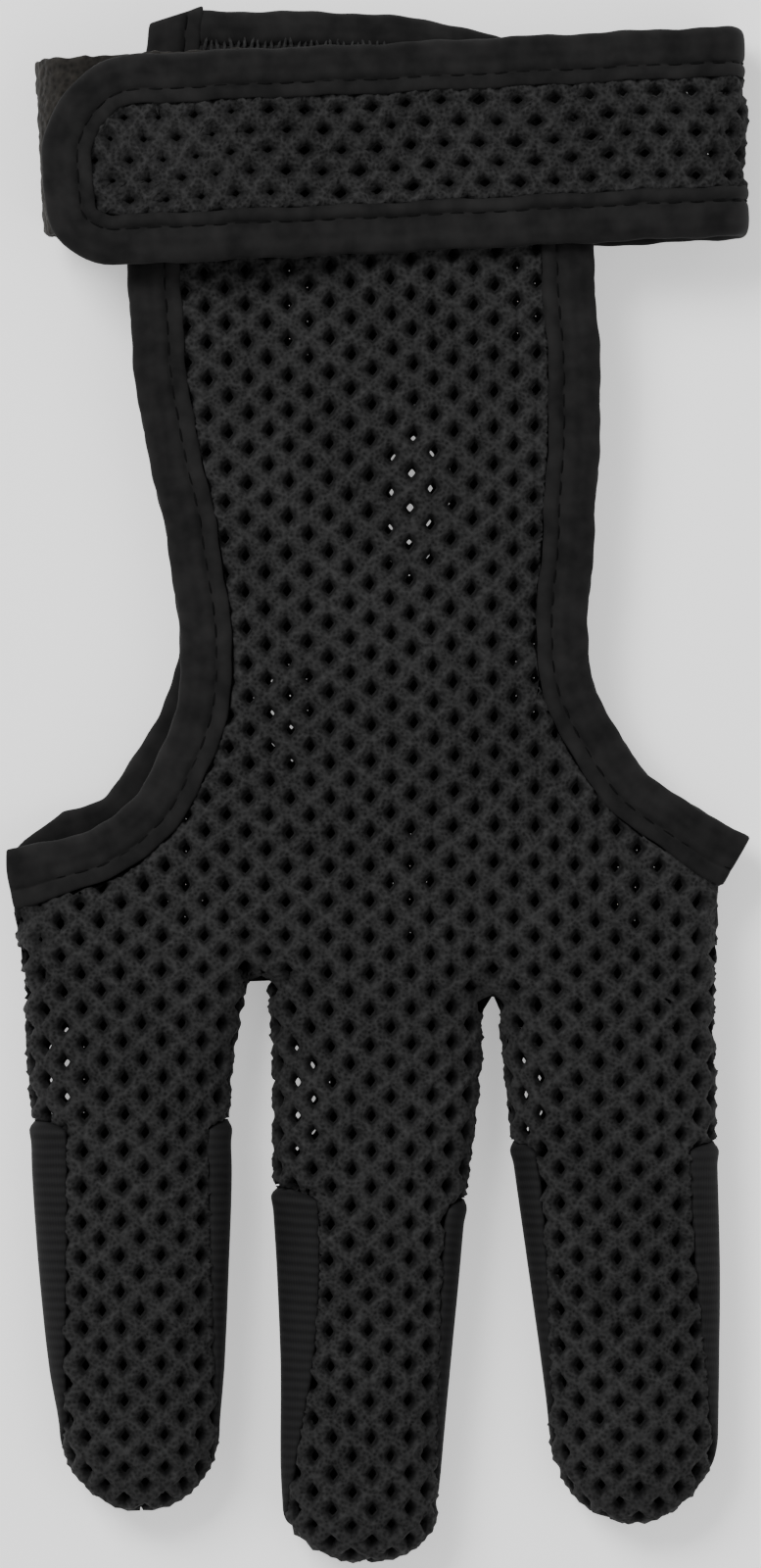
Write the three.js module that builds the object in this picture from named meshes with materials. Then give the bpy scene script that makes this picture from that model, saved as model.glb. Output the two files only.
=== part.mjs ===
// Three-finger archery glove of air mesh with taped edges and a wrist strap.
// It lies flat with the back of the hand up. Millimetres, +Y to the wrist, +Z up.
import * as THREE from 'three';

// Cloth and tape
const meshWall = 1.6;
const facingWall = 1.2;
const bindingWidth = 7.8;
const bindingThickness = 2.2;
const clearance = 0.3;

// Hand, from the wrist edge of the mesh to the foot of the side openings
const handLength = 120;
const handHalfWidth = 52;
const wristEdgeY = 102.9;
const gloveHeight = 13;
const wristEdgeDrop = 4.5;
const palmFlare = 2.0;
const palmRise = 3.8;
const palmWristSetback = 3.0;
const palmEdgeLift = 0.12;
const slantedEndRise = 3.4;
const bindingDroop = 0.13;

// Fingers
const fingerWidth = 32;
const leftFingerLength = 76.4;
const middleFingerLength = 82.2;
const rightFingerLength = 75.0;
const leftCrotchY = -27.7;
const rightCrotchY = -30.9;

// Gaps of the net, at their real size
const netGapWidth = 1.9;
const netGapLength = 2.6;

// Wrist strap, a flattened loop
const strapWidth = 30;
const strapTapeWidth = 7.4;
const strapTapeThickness = 2.2;
const strapTilt = THREE.MathUtils.degToRad(2.9);
const strapMiddleY = 90.5;
const strapLeftX = -48.3;
const strapRightX = 52.8;
const strapBackEndX = -28;
const strapFoldReach = 7;
const pileWidth = 25;
const pileShift = 2.8;
const pileThickness = 1.8;
const pileEndX = -18;
const pileFoldReach = 5;
const pileReach = 0.6;
const hookLength = 20;
const hookThickness = 1.0;

// Levels of the layers where the strap holds the wrist
const strapBackLevel = strapTapeThickness / 2;
const palmWristLevel = strapTapeThickness + clearance + bindingThickness / 2;
const wristHollow = 5.2;
const backWristLevel = palmWristLevel + meshWall + wristHollow;
const pileTopLevel = backWristLevel + bindingThickness / 2 + clearance + pileThickness / 2;
const hookLevel = pileTopLevel + (pileThickness + hookThickness) / 2 + clearance;
const tabLevel = hookLevel + (hookThickness + meshWall) / 2 + clearance;
const strapFrontLevel = backWristLevel + (bindingThickness + strapTapeThickness) / 2 + 0.4;

// Side edges of the mesh panels. station runs from the wrist to the foot of the side
// openings. Down is a share of handLength, out a share of handHalfWidth.
const panelEdges = [
  { station: 0.00, leftDown: 0.000, leftOut: -0.491, rightDown: 0.000, rightOut: 0.359 },
  { station: 0.14, leftDown: 0.145, leftOut: -0.521, rightDown: 0.145, rightOut: 0.427 },
  { station: 0.22, leftDown: 0.229, leftOut: -0.540, rightDown: 0.229, rightOut: 0.430 },
  { station: 0.38, leftDown: 0.395, leftOut: -0.513, rightDown: 0.395, rightOut: 0.451 },
  { station: 0.53, leftDown: 0.553, leftOut: -0.438, rightDown: 0.553, rightOut: 0.435 },
  { station: 0.68, leftDown: 0.716, leftOut: -0.394, rightDown: 0.716, rightOut: 0.419 },
  { station: 0.76, leftDown: 0.806, leftOut: -0.429, rightDown: 0.806, rightOut: 0.489 },
  { station: 0.83, leftDown: 0.887, leftOut: -0.513, rightDown: 0.887, rightOut: 0.615 },
  { station: 0.88, leftDown: 0.926, leftOut: -0.583, rightDown: 0.923, rightOut: 0.715 },
  { station: 0.92, leftDown: 0.957, leftOut: -0.664, rightDown: 0.943, rightOut: 0.790 },
  { station: 0.96, leftDown: 0.980, leftOut: -0.777, rightDown: 0.956, rightOut: 0.847 },
  { station: 1.00, leftDown: 1.000, leftOut: -0.984, rightDown: 0.970, rightOut: 0.903 },
];

// How far the middle and the side edges of each panel rise. At 0 a panel lies at its wrist
// level, and at 1 it lies as high (back) or as low (palm) as on the hand.
const panelRise = [
  { station: 0.00, backCrown: 0.00, backEdge: 0.00, palmCrown: 0.00, palmEdge: 0.00 },
  { station: 0.23, backCrown: 0.00, backEdge: 0.00, palmCrown: 0.00, palmEdge: 0.00 },
  { station: 0.30, backCrown: 0.30, backEdge: -0.06, palmCrown: 0.60, palmEdge: 0.60 },
  { station: 0.38, backCrown: 0.55, backEdge: -0.12, palmCrown: 1.00, palmEdge: 1.00 },
  { station: 0.53, backCrown: 0.77, backEdge: -0.14, palmCrown: 1.00, palmEdge: 1.00 },
  { station: 0.68, backCrown: 0.82, backEdge: -0.18, palmCrown: 1.00, palmEdge: 1.00 },
  { station: 0.83, backCrown: 0.91, backEdge: -0.34, palmCrown: 1.00, palmEdge: 0.72 },
  { station: 0.92, backCrown: 0.95, backEdge: -0.62, palmCrown: 1.00, palmEdge: 0.10 },
  { station: 1.00, backCrown: 1.00, backEdge: -1.00, palmCrown: 1.00, palmEdge: -0.45 },
];

// Fingers. along runs from root to tip, middle is a share of handHalfWidth, width a share
// of fingerWidth and height a share of gloveHeight.
const leftSections = [
  { along: 0.00, middle: -0.671, width: 1.030, height: 1.00 },
  { along: 0.14, middle: -0.688, width: 0.945, height: 1.00 },
  { along: 0.26, middle: -0.688, width: 0.900, height: 0.99 },
  { along: 0.37, middle: -0.684, width: 0.898, height: 0.98 },
  { along: 0.55, middle: -0.679, width: 0.853, height: 0.96 },
  { along: 0.73, middle: -0.671, width: 0.788, height: 0.94 },
  { along: 0.85, middle: -0.663, width: 0.718, height: 0.92 },
  { along: 1.00, middle: -0.660, width: 0.718, height: 0.90 },
];
const middleSections = [
  { along: 0.00, middle: -0.016, width: 0.990, height: 1.00 },
  { along: 0.13, middle: -0.011, width: 0.950, height: 1.00 },
  { along: 0.35, middle: -0.031, width: 0.875, height: 0.99 },
  { along: 0.50, middle: -0.035, width: 0.818, height: 0.98 },
  { along: 0.66, middle: -0.042, width: 0.762, height: 0.96 },
  { along: 0.83, middle: -0.054, width: 0.722, height: 0.94 },
  { along: 0.90, middle: -0.055, width: 0.700, height: 0.92 },
  { along: 1.00, middle: -0.045, width: 0.700, height: 0.90 },
];
const rightSections = [
  { along: 0.00, middle: 0.620, width: 0.995, height: 1.00 },
  { along: 0.15, middle: 0.633, width: 0.958, height: 1.00 },
  { along: 0.27, middle: 0.642, width: 0.928, height: 0.99 },
  { along: 0.50, middle: 0.669, width: 0.866, height: 0.97 },
  { along: 0.70, middle: 0.688, width: 0.797, height: 0.95 },
  { along: 0.82, middle: 0.696, width: 0.762, height: 0.93 },
  { along: 1.00, middle: 0.694, width: 0.762, height: 0.90 },
];

// hem is where the facing starts, roundFrom where the tip starts to round. A facing shows
// as a strip on each side at the hem, runs out to the side line, and closes under the tip.
const fingers = [
  {
    name: 'left', length: leftFingerLength, sections: leftSections, rootLeftY: leftCrotchY,
    rootRightY: leftCrotchY, hem: 0.264, roundFrom: 0.846, leftStrip: 4.9, rightStrip: 2.9,
    leftRunOut: 0.87, rightRunOut: 0.85, facingEnd: 0.965,
  },
  {
    name: 'middle', length: middleFingerLength, sections: middleSections, rootLeftY: leftCrotchY,
    rootRightY: rightCrotchY, hem: 0.353, roundFrom: 0.903, leftStrip: 6.3, rightStrip: 2.2,
    leftRunOut: 0.92, rightRunOut: 0.86, facingEnd: 0.975,
  },
  {
    name: 'right', length: rightFingerLength, sections: rightSections, rootLeftY: rightCrotchY,
    rootRightY: rightCrotchY, hem: 0.268, roundFrom: 0.819, leftStrip: 3.0, rightStrip: 3.7,
    leftRunOut: 0.80, rightRunOut: 0.88, facingEnd: 0.960,
  },
];

// Rows of the panels
const handRows = 21;
const knuckleRows = 3;
const rootRows = 3;
const facingRows = 5;
const tipTurns = [22, 44, 62, 77, 90];

const smooth = (value) => THREE.MathUtils.smoothstep(value, 0, 1);
const lerp = THREE.MathUtils.lerp;
const clamp = THREE.MathUtils.clamp;

// A smooth line through one column of a table.
function column(rows, along, name) {
  const slope = (i) => {
    const before = rows[Math.max(i - 1, 0)];
    const after = rows[Math.min(i + 1, rows.length - 1)];
    return (after[name] - before[name]) / (after[along] - before[along]);
  };
  return (at) => {
    const last = rows.length - 2;
    let i = rows.findIndex((row) => row[along] > at) - 1;
    if (i < 0) i = at <= rows[0][along] ? 0 : last;
    const span = rows[i + 1][along] - rows[i][along];
    const t = clamp((at - rows[i][along]) / span, 0, 1);
    const t2 = t * t;
    const t3 = t2 * t;
    return (2 * t3 - 3 * t2 + 1) * rows[i][name] + (t3 - 2 * t2 + t) * span * slope(i)
      + (3 * t2 - 2 * t3) * rows[i + 1][name] + (t3 - t2) * span * slope(i + 1);
  };
}

function tableLines(rows, along) {
  const names = Object.keys(rows[0]).filter((name) => name !== along);
  return Object.fromEntries(names.map((name) => [name, column(rows, along, name)]));
}

const edgeLines = tableLines(panelEdges, 'station');
const riseLines = tableLines(panelRise, 'station');
fingers.forEach((finger) => {
  finger.lines = tableLines(finger.sections, 'along');
});

// A wall made of patches: each point has an outer and an inner place, and every free edge
// of a patch is closed by a strip between the two.
class Wall {
  constructor() {
    this.index = new Map();
    this.outer = [];
    this.inner = [];
    this.patches = [];
  }

  point({ outer, inner }) {
    const key = outer.toArray().map((value) => Math.round(value * 500)).join(' ');
    if (!this.index.has(key)) {
      this.index.set(key, this.outer.length);
      this.outer.push(outer);
      this.inner.push(inner);
    }
    return this.index.get(key);
  }

  patch(...corners) {
    const ids = corners.map((corner) => this.point(corner));
    const kept = ids.filter((id, i) => id !== ids[(i + 1) % ids.length]);
    if (kept.length > 2) this.patches.push(kept);
  }

  // A patch of two cells side by side with one diamond-shaped gap of the net in it.
  piercedPatch(first, last, firstMiddle, lastMiddle, gapWidth, gapLength) {
    const centre = mixPoints(firstMiddle, lastMiddle, 0.5);
    const across = first[1].outer.distanceTo(first[0].outer);
    const down = firstMiddle.outer.distanceTo(lastMiddle.outer);
    const nearFirst = mixPoints(centre, firstMiddle, gapLength / down);
    const nearLast = mixPoints(centre, lastMiddle, gapLength / down);
    const nearLeft = mixPoints(centre, mixPoints(first[0], last[0], 0.5), gapWidth / across);
    const nearRight = mixPoints(centre, mixPoints(first[1], last[1], 0.5), gapWidth / across);
    this.patch(first[0], nearLeft, nearFirst, firstMiddle);
    this.patch(firstMiddle, nearFirst, nearRight, first[1]);
    this.patch(first[1], nearRight, last[1]);
    this.patch(last[1], nearRight, nearLast, lastMiddle);
    this.patch(lastMiddle, nearLast, nearLeft, last[0]);
    this.patch(last[0], nearLeft, first[0]);
  }

  shortDiagonalFirst(ids) {
    if (ids.length !== 4) return ids;
    const span = (i, j) => this.outer[ids[i]].distanceTo(this.outer[ids[j]]);
    return span(0, 2) <= span(1, 3) ? ids : [...ids.slice(1), ids[0]];
  }

  geometry() {
    const count = this.outer.length;
    const triangles = [];
    const edges = new Set();
    for (const corners of this.patches) {
      const ids = this.shortDiagonalFirst(corners);
      for (let i = 1; i < ids.length - 1; i += 1) {
        triangles.push([ids[0], ids[i], ids[i + 1]]);
        triangles.push([ids[0] + count, ids[i + 1] + count, ids[i] + count]);
      }
      ids.forEach((id, i) => edges.add(`${id} ${ids[(i + 1) % ids.length]}`));
    }
    for (const edge of edges) {
      const [from, to] = edge.split(' ').map(Number);
      if (!edges.has(`${to} ${from}`)) {
        triangles.push([to, from, from + count]);
        triangles.push([to, from + count, to + count]);
      }
    }
    return solid([...this.outer, ...this.inner], triangles);
  }
}

function mixPoints(a, b, share) {
  return {
    outer: a.outer.clone().lerp(b.outer, share),
    inner: a.inner.clone().lerp(b.inner, share),
  };
}

// A closed geometry with its faces pointing out.
function solid(points, triangles) {
  let volume = 0;
  const cross = new THREE.Vector3();
  for (const [a, b, c] of triangles) {
    volume += cross.crossVectors(points[b], points[c]).dot(points[a]);
  }
  const turned = volume < 0 ? triangles.map(([a, b, c]) => [a, c, b]) : triangles;
  const geometry = new THREE.BufferGeometry();
  const places = points.flatMap((point) => point.toArray());
  geometry.setAttribute('position', new THREE.Float32BufferAttribute(places, 3));
  geometry.setIndex(turned.flat());
  geometry.computeVertexNormals();
  return geometry;
}

// A tape swept through rings of points, closed at both ends.
function sweptTape(rings, section) {
  const size = section.length;
  const triangles = [];
  for (let r = 0; r < rings.length - 1; r += 1) {
    for (let i = 0; i < size; i += 1) {
      const a = r * size + i;
      const b = r * size + ((i + 1) % size);
      triangles.push([a, b, b + size], [a, b + size, a + size]);
    }
  }
  const end = (rings.length - 1) * size;
  for (const [a, b, c] of THREE.ShapeUtils.triangulateShape(section, [])) {
    triangles.push([a, c, b], [a + end, b + end, c + end]);
  }
  return solid(rings.flat(), triangles);
}

// The section of a folded tape: flat where it meets the mesh, round at the fold, with a
// shallow crease down its upper face. x runs outwards, y through the thickness.
function tapeSection(width, thickness) {
  const half = thickness / 2;
  return [
    [0, -half], [0.75, -half], [1, -half * 0.4], [1, half * 0.4],
    [0.78, half], [0.52, half * 0.7], [0.30, half], [0, half],
  ].map(([share, height]) => new THREE.Vector2(share * width, height));
}

// The two layers of the hand: where their faces lie at the wrist and on the hand.
const backLayer = {
  up: 1,
  wristFace: backWristLevel + meshWall / 2,
  crownFace: gloveHeight,
  edgeReach: 2.2,
  crown: riseLines.backCrown,
  edge: riseLines.backEdge,
};
const palmLayer = {
  up: -1,
  wristFace: palmWristLevel - meshWall / 2,
  crownFace: bindingThickness / 2 - meshWall / 2,
  edgeReach: palmWristLevel - bindingThickness / 2 - palmEdgeLift,
  crown: riseLines.palmCrown,
  edge: riseLines.palmEdge,
};

// Side edges of a layer at a station. The palm layer flares past the back layer at left.
function sideEdges(layer, station) {
  const flare = layer.up < 0 ? smooth((station - 0.58) / 0.3) : 0;
  return {
    left: new THREE.Vector2(
      edgeLines.leftOut(station) * handHalfWidth - palmFlare * flare * (1 - 1.4 * smooth(station * 5 - 4)),
      wristEdgeY - edgeLines.leftDown(station) * handLength + palmRise * flare,
    ),
    right: new THREE.Vector2(
      edgeLines.rightOut(station) * handHalfWidth,
      wristEdgeY - edgeLines.rightDown(station) * handLength,
    ),
  };
}

function wristDip(layer, station, share) {
  const setback = layer.up < 0 ? palmWristSetback : 0;
  return (1 - smooth(station / 0.2)) * (wristEdgeDrop * share ** 4 + setback);
}

// A point of the hand: share runs from the left edge (0) to the right edge (1).
function handPoint(layer, station, share) {
  const { left, right } = sideEdges(layer, station);
  const u = 2 * share - 1;
  const x = lerp(left.x, right.x, share);
  const y = lerp(left.y, right.y, share) - wristDip(layer, station, share);
  const crown = lerp(layer.wristFace, layer.crownFace, layer.crown(station));
  const edgeShare = layer.edge(station);
  const edge = layer.up > 0
    ? layer.wristFace + layer.edgeReach * edgeShare
    : layer.wristFace - layer.edgeReach * edgeShare;
  const z = edge + (crown - edge) * (1 - u * u);
  return {
    outer: new THREE.Vector3(x, y, z),
    inner: new THREE.Vector3(x, y, z - layer.up * meshWall),
  };
}

// Half a superellipse: the section of a stall, broad at the sides and flat under the finger.
function sectionPoint(halfWidth, halfHeight, angle) {
  const power = Math.sin(angle) > 0 ? 2.2 : 2.8;
  const bend = (value) => Math.sign(value) * Math.abs(value) ** (2 / power);
  return new THREE.Vector2(halfWidth * bend(Math.cos(angle)), halfHeight * bend(Math.sin(angle)));
}

// The angle that lies a given distance further round the section.
function angleAfter(halfWidth, halfHeight, angle, distance) {
  const step = Math.sign(distance) * 0.004;
  const start = sectionPoint(halfWidth, halfHeight, angle);
  let turned = angle;
  while (sectionPoint(halfWidth, halfHeight, turned).distanceTo(start) < Math.abs(distance)) {
    turned += step;
  }
  return turned;
}

function rootLine(finger, share) {
  return lerp(finger.rootLeftY, finger.rootRightY, clamp(share, 0, 1));
}

// The size of a stall at a place along it, with the wall taken off for the inner face.
function stallSize(finger, along, wall) {
  const place = Math.min(along, finger.roundFrom);
  const turn = Math.asin(clamp((along - finger.roundFrom) / (1 - finger.roundFrom), 0, 1));
  const halfHeight = finger.lines.height(place) * gloveHeight / 2;
  const halfWidth = finger.lines.width(place) * fingerWidth / 2;
  return {
    middle: finger.lines.middle(along) * handHalfWidth,
    level: halfHeight,
    halfWidth: (halfWidth - wall) * Math.cos(turn),
    halfHeight: (halfHeight - wall) * Math.cos(turn),
    shortened: wall * Math.sin(turn),
  };
}

function stallPoint(finger, along, angle, wall) {
  const face = (inset) => {
    const size = stallSize(finger, along, inset);
    const place = sectionPoint(size.halfWidth, size.halfHeight, angle);
    const tipY = (finger.rootLeftY + finger.rootRightY) / 2 - finger.length;
    const share = 0.5 + 0.5 * Math.cos(angle);
    const y = lerp(rootLine(finger, share), tipY, along) + size.shortened;
    return new THREE.Vector3(size.middle + place.x, y, size.level + place.y);
  };
  return { outer: face(0), inner: face(wall) };
}

// The angle of the seam between back and underside, on the right side of a stall, and in the
// same way, mirrored, on its left side. A facing wraps up the sides and closes under the tip.
function seamAngle(finger, along, side) {
  const runOut = side === 'left' ? finger.leftRunOut : finger.rightRunOut;
  const strip = side === 'left' ? finger.leftStrip : finger.rightStrip;
  if (along < finger.hem) return 0;
  if (along < runOut) {
    const { halfWidth } = stallSize(finger, along, 0);
    const shown = strip * Math.cos((along - finger.hem) / (runOut - finger.hem) * Math.PI / 2);
    return Math.acos((1 - shown / halfWidth) ** 1.1);
  }
  const closing = smooth((along - runOut) / (finger.facingEnd - runOut));
  return closing >= 1 ? -Math.PI / 2 : -Math.PI / 2 * closing;
}

// The angles of a stall's two seams at a place along it, moved by half a clearance to one side.
function seamAngles(finger, along, offset) {
  const { halfWidth, halfHeight } = stallSize(finger, Math.min(along, finger.facingEnd), 0);
  const right = seamAngle(finger, along, 'right');
  const left = seamAngle(finger, along, 'left');
  if (right <= -Math.PI / 2) return { left: Math.PI * 1.5, right: -Math.PI / 2 };
  return {
    left: Math.PI - angleAfter(halfWidth, halfHeight, left, offset),
    right: angleAfter(halfWidth, halfHeight, right, offset),
  };
}

// The blunt end of the facing's tongue, just before its two seams meet.
function tongueEnd(finger) {
  return finger.facingEnd - 1.2 / finger.length;
}

function stallRows(finger) {
  const rows = [];
  for (let i = 1; i <= rootRows; i += 1) rows.push(finger.hem * i / rootRows);
  const hemStep = 0.4 / finger.length;
  for (let i = 0; i <= facingRows; i += 1) {
    rows.push(lerp(finger.hem + hemStep, finger.roundFrom, i / facingRows));
  }
  for (const turn of tipTurns) {
    rows.push(lerp(finger.roundFrom, 1, Math.sin(THREE.MathUtils.degToRad(turn))));
  }
  rows.push(tongueEnd(finger), finger.facingEnd);
  rows[rootRows - 1] = finger.hem - 1e-6;
  return rows.sort((a, b) => a - b);
}

// Lays out the cells of one layer: across the hand, over the knuckles and down the fingers.
class Panel {
  constructor(layer, cellsPerFinger) {
    this.layer = layer;
    this.cells = cellsPerFinger;
    this.columns = 3 * cellsPerFinger + 2;
    this.wall = new Wall();
    this.seamOffset = layer.up * clearance / 2;
  }

  handRow(station) {
    const shares = [...Array(this.columns + 1).keys()].map((c) => c / this.columns);
    return shares.map((share) => handPoint(this.layer, station, share));
  }

  stallRow(finger, along) {
    const seams = seamAngles(finger, along, this.seamOffset);
    const left = this.layer.up > 0 ? seams.left : seams.left - 2 * Math.PI;
    return [...Array(this.cells + 1).keys()].map((c) => {
      const angle = lerp(left, seams.right, c / this.cells);
      return stallPoint(finger, along, angle, meshWall);
    });
  }

  // Over the knuckles the flat hand gives way to the three round finger roots.
  knuckleRow(share) {
    const roots = fingers.flatMap((finger) => this.stallRow(finger, 0));
    const foot = this.handRow(1);
    const sideLevel = gloveHeight / 2 + this.seamOffset;
    const halfHeight = gloveHeight / 2;
    return roots.map((root, c) => {
      const u = 2 * c / this.columns - 1;
      const flat = (inset) => {
        const fullness = (1 - Math.abs(u) ** 4) ** 0.25;
        const squeeze = Math.abs(u) > 0.99 ? inset : 0;
        const x = foot[c].outer.x - Math.sign(u) * squeeze;
        const z = sideLevel + this.layer.up * (halfHeight - inset - clearance / 2) * fullness;
        return new THREE.Vector3(x, lerp(foot[c].outer.y, root.outer.y, share), z);
      };
      const blend = (face, end) => {
        const width = smooth(share);
        const depth = share * share;
        return new THREE.Vector3(
          lerp(face.x, end.x, width),
          lerp(face.y, end.y, width),
          lerp(face.z, end.z, depth),
        );
      };
      return { outer: blend(flat(0), root.outer), inner: blend(flat(meshWall), root.inner) };
    });
  }

  addCell(a, b, c, d) {
    if (this.layer.up > 0) this.wall.patch(a, d, c, b);
    else this.wall.patch(a, b, c, d);
  }

  addRows(rows) {
    for (let r = 0; r < rows.length - 1; r += 1) {
      const [first, last] = [rows[r], rows[r + 1]];
      for (let c = 0; c < first.length - 1; c += 1) {
        this.addCell(first[c], first[c + 1], last[c + 1], last[c]);
      }
    }
  }

  // The same, with a gap of the net in every other pair of cells where there is room for it.
  addNetRows(rows, firstGapRow) {
    const strand = 1.0;
    for (let r = 0; r < rows.length - 1; r += 1) {
      const [first, last] = [rows[r], rows[r + 1]];
      for (let c = 0; c < this.columns; c += 2) {
        const width = first[c].outer.distanceTo(first[c + 2].outer);
        const lengths = [c, c + 1, c + 2].map((i) => first[i].outer.distanceTo(last[i].outer));
        const fits = width > netGapWidth + strand && Math.min(...lengths) > netGapLength + strand;
        const inner = c > 0 && c + 2 < this.columns;
        if (r >= firstGapRow && inner && fits && (c / 2 + r) % 2 === 0) {
          this.wall.piercedPatch(
            [first[c], first[c + 2]], [last[c], last[c + 2]], first[c + 1], last[c + 1],
            netGapWidth, netGapLength,
          );
        } else {
          this.addCell(first[c], first[c + 1], last[c + 1], last[c]);
          this.addCell(first[c + 1], first[c + 2], last[c + 2], last[c + 1]);
        }
      }
    }
  }

  handAndKnuckles() {
    const rows = [];
    for (let r = 0; r <= handRows; r += 1) rows.push(this.handRow(r / handRows));
    for (let r = 1; r <= knuckleRows; r += 1) rows.push(this.knuckleRow(r / knuckleRows));
    return rows;
  }

  addFinger(finger, root, lastRow) {
    const rows = stallRows(finger).slice(0, lastRow);
    this.addRows([root, ...rows.map((along) => this.stallRow(finger, along))]);
  }

  addFingers(rootRow, lastRow) {
    fingers.forEach((finger, i) => {
      const start = i * (this.cells + 1);
      this.addFinger(finger, rootRow.slice(start, start + this.cells + 1), lastRow);
    });
  }
}

function backPanelGeometry() {
  const panel = new Panel(backLayer, 8);
  const rows = panel.handAndKnuckles();
  const firstGapRow = 5;
  panel.addNetRows(rows, firstGapRow);
  panel.addFingers(rows.at(-1));
  return panel.wall.geometry();
}

function palmPanelGeometry() {
  const panel = new Panel(palmLayer, 6);
  const rows = panel.handAndKnuckles();
  panel.addRows(rows);
  panel.addFingers(rows.at(-1), rootRows);
  return panel.wall.geometry();
}

// The facing of one finger: an open trough that ends in a round tongue under the tip.
function facingGeometry(finger) {
  const cells = 10;
  const wall = new Wall();
  const start = finger.hem + (0.4 + clearance) / finger.length;
  const places = stallRows(finger).slice(rootRows).filter((along) => along < finger.facingEnd);
  places[0] = start;
  const rows = places.map((along) => {
    const seams = seamAngles(finger, along, -clearance * 0.8);
    const left = seams.left - 2 * Math.PI;
    return [...Array(cells + 1).keys()].map((c) => {
      return stallPoint(finger, along, lerp(left, seams.right, c / cells), facingWall);
    });
  });
  for (let r = 0; r < rows.length - 1; r += 1) {
    for (let c = 0; c < cells; c += 1) {
      wall.patch(rows[r][c], rows[r][c + 1], rows[r + 1][c + 1], rows[r + 1][c]);
    }
  }
  return wall.geometry();
}

// A tape along a run of edge frames. Each frame has the edge's place, the way out of the
// panel and the way up. The ends can be moved along the tape, and one end cut at a slant.
function bindingGeometry(frames, { before = 0, after = 0, slant = 0 }) {
  const section = tapeSection(bindingWidth, bindingThickness);
  const rings = frames.map((frame, i) => section.map(({ x, y }) => {
    const next = frames[Math.min(i + 1, frames.length - 1)];
    const last = frames[Math.max(i - 1, 0)];
    const along = next.place.clone().sub(last.place).normalize();
    const isStart = i === 0;
    const isEnd = i === frames.length - 1;
    const moved = isStart ? -before - slant * (0.5 - x / bindingWidth) : (isEnd ? after : 0);
    return frame.place.clone()
      .addScaledVector(frame.out, clearance + x)
      .addScaledVector(frame.up, y)
      .addScaledVector(along, moved);
  }));
  return sweptTape(rings, section);
}

// Frames along a side edge of a layer, from the wrist to the foot of the side opening.
function sideFrames(layer, side) {
  const isLeft = side === 'left';
  const places = [];
  for (let r = 0; r <= handRows; r += 1) {
    const { outer, inner } = handPoint(layer, r / handRows, isLeft ? 0 : 1);
    places.push(outer.clone().lerp(inner, 0.5));
  }
  return places.map((place, r) => {
    const next = places[Math.min(r + 1, handRows)];
    const last = places[Math.max(r - 1, 0)];
    const along = next.clone().sub(last).normalize();
    const out = new THREE.Vector3(along.y, -along.x, 0).normalize();
    if (!isLeft) out.negate();
    const station = r / handRows;
    const droops = smooth(station * 4 - 1) * (1 - smooth(station * 5 - 4));
    out.z = layer.up > 0 ? -bindingDroop * droops : 0;
    out.normalize();
    const up = new THREE.Vector3().crossVectors(along, out).normalize();
    if (up.z < 0) up.negate();
    return { place, out, up };
  });
}

// Frames along the wrist edge of a layer, from left to right.
function wristFrames(layer) {
  const count = 8;
  const frames = [];
  for (let i = 0; i <= count; i += 1) {
    const { outer, inner } = handPoint(layer, 0, i / count);
    frames.push({
      place: outer.clone().lerp(inner, 0.5),
      out: new THREE.Vector3(0, 1, 0),
      up: new THREE.Vector3(0, 0, 1),
    });
  }
  return frames;
}

// The strap's middle line in its own frame: x along the strap, y through the layers.
function halfTurn(centreX, reach, fromLevel, toLevel, side) {
  const middle = (fromLevel + toLevel) / 2;
  const half = (fromLevel - toLevel) / 2;
  const steps = 8;
  return [...Array(steps + 1).keys()].map((i) => {
    const turn = Math.PI * i / steps;
    return new THREE.Vector2(
      centreX + side * reach * Math.sin(turn),
      middle + half * Math.cos(turn),
    );
  });
}

function strapLine() {
  const rampStart = pileEndX + 1;
  const rampLength = 14;
  const foldX = strapRightX - strapTapeThickness / 2 - strapFoldReach;
  const line = [];
  for (const share of [0, 0.1, 0.2, 0.3, 0.45, 0.6, 0.8, 1]) {
    line.push(new THREE.Vector2(lerp(strapLeftX, rampStart, share), tabLevel));
  }
  for (const share of [0.25, 0.5, 0.75, 1]) {
    const level = lerp(tabLevel, strapFrontLevel, smooth(share));
    line.push(new THREE.Vector2(rampStart + rampLength * share, level));
  }
  for (const share of [0.33, 0.66]) {
    line.push(new THREE.Vector2(lerp(rampStart + rampLength, foldX, share), strapFrontLevel));
  }
  line.push(...halfTurn(foldX, strapFoldReach, strapFrontLevel, strapBackLevel, 1));
  for (const share of [0.33, 0.66, 1]) {
    line.push(new THREE.Vector2(lerp(foldX, strapBackEndX, share), strapBackLevel));
  }
  return line;
}

function pileLine() {
  const backLevel = pileThickness / 2;
  const foldX = strapLeftX - pileReach + pileThickness / 2 + pileFoldReach;
  const line = [new THREE.Vector2(strapBackEndX - clearance, backLevel)];
  line.push(...halfTurn(foldX, pileFoldReach, backLevel, pileTopLevel, -1));
  for (const share of [0.33, 0.66, 1]) {
    line.push(new THREE.Vector2(lerp(foldX, pileEndX, share), pileTopLevel));
  }
  return line;
}

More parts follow.
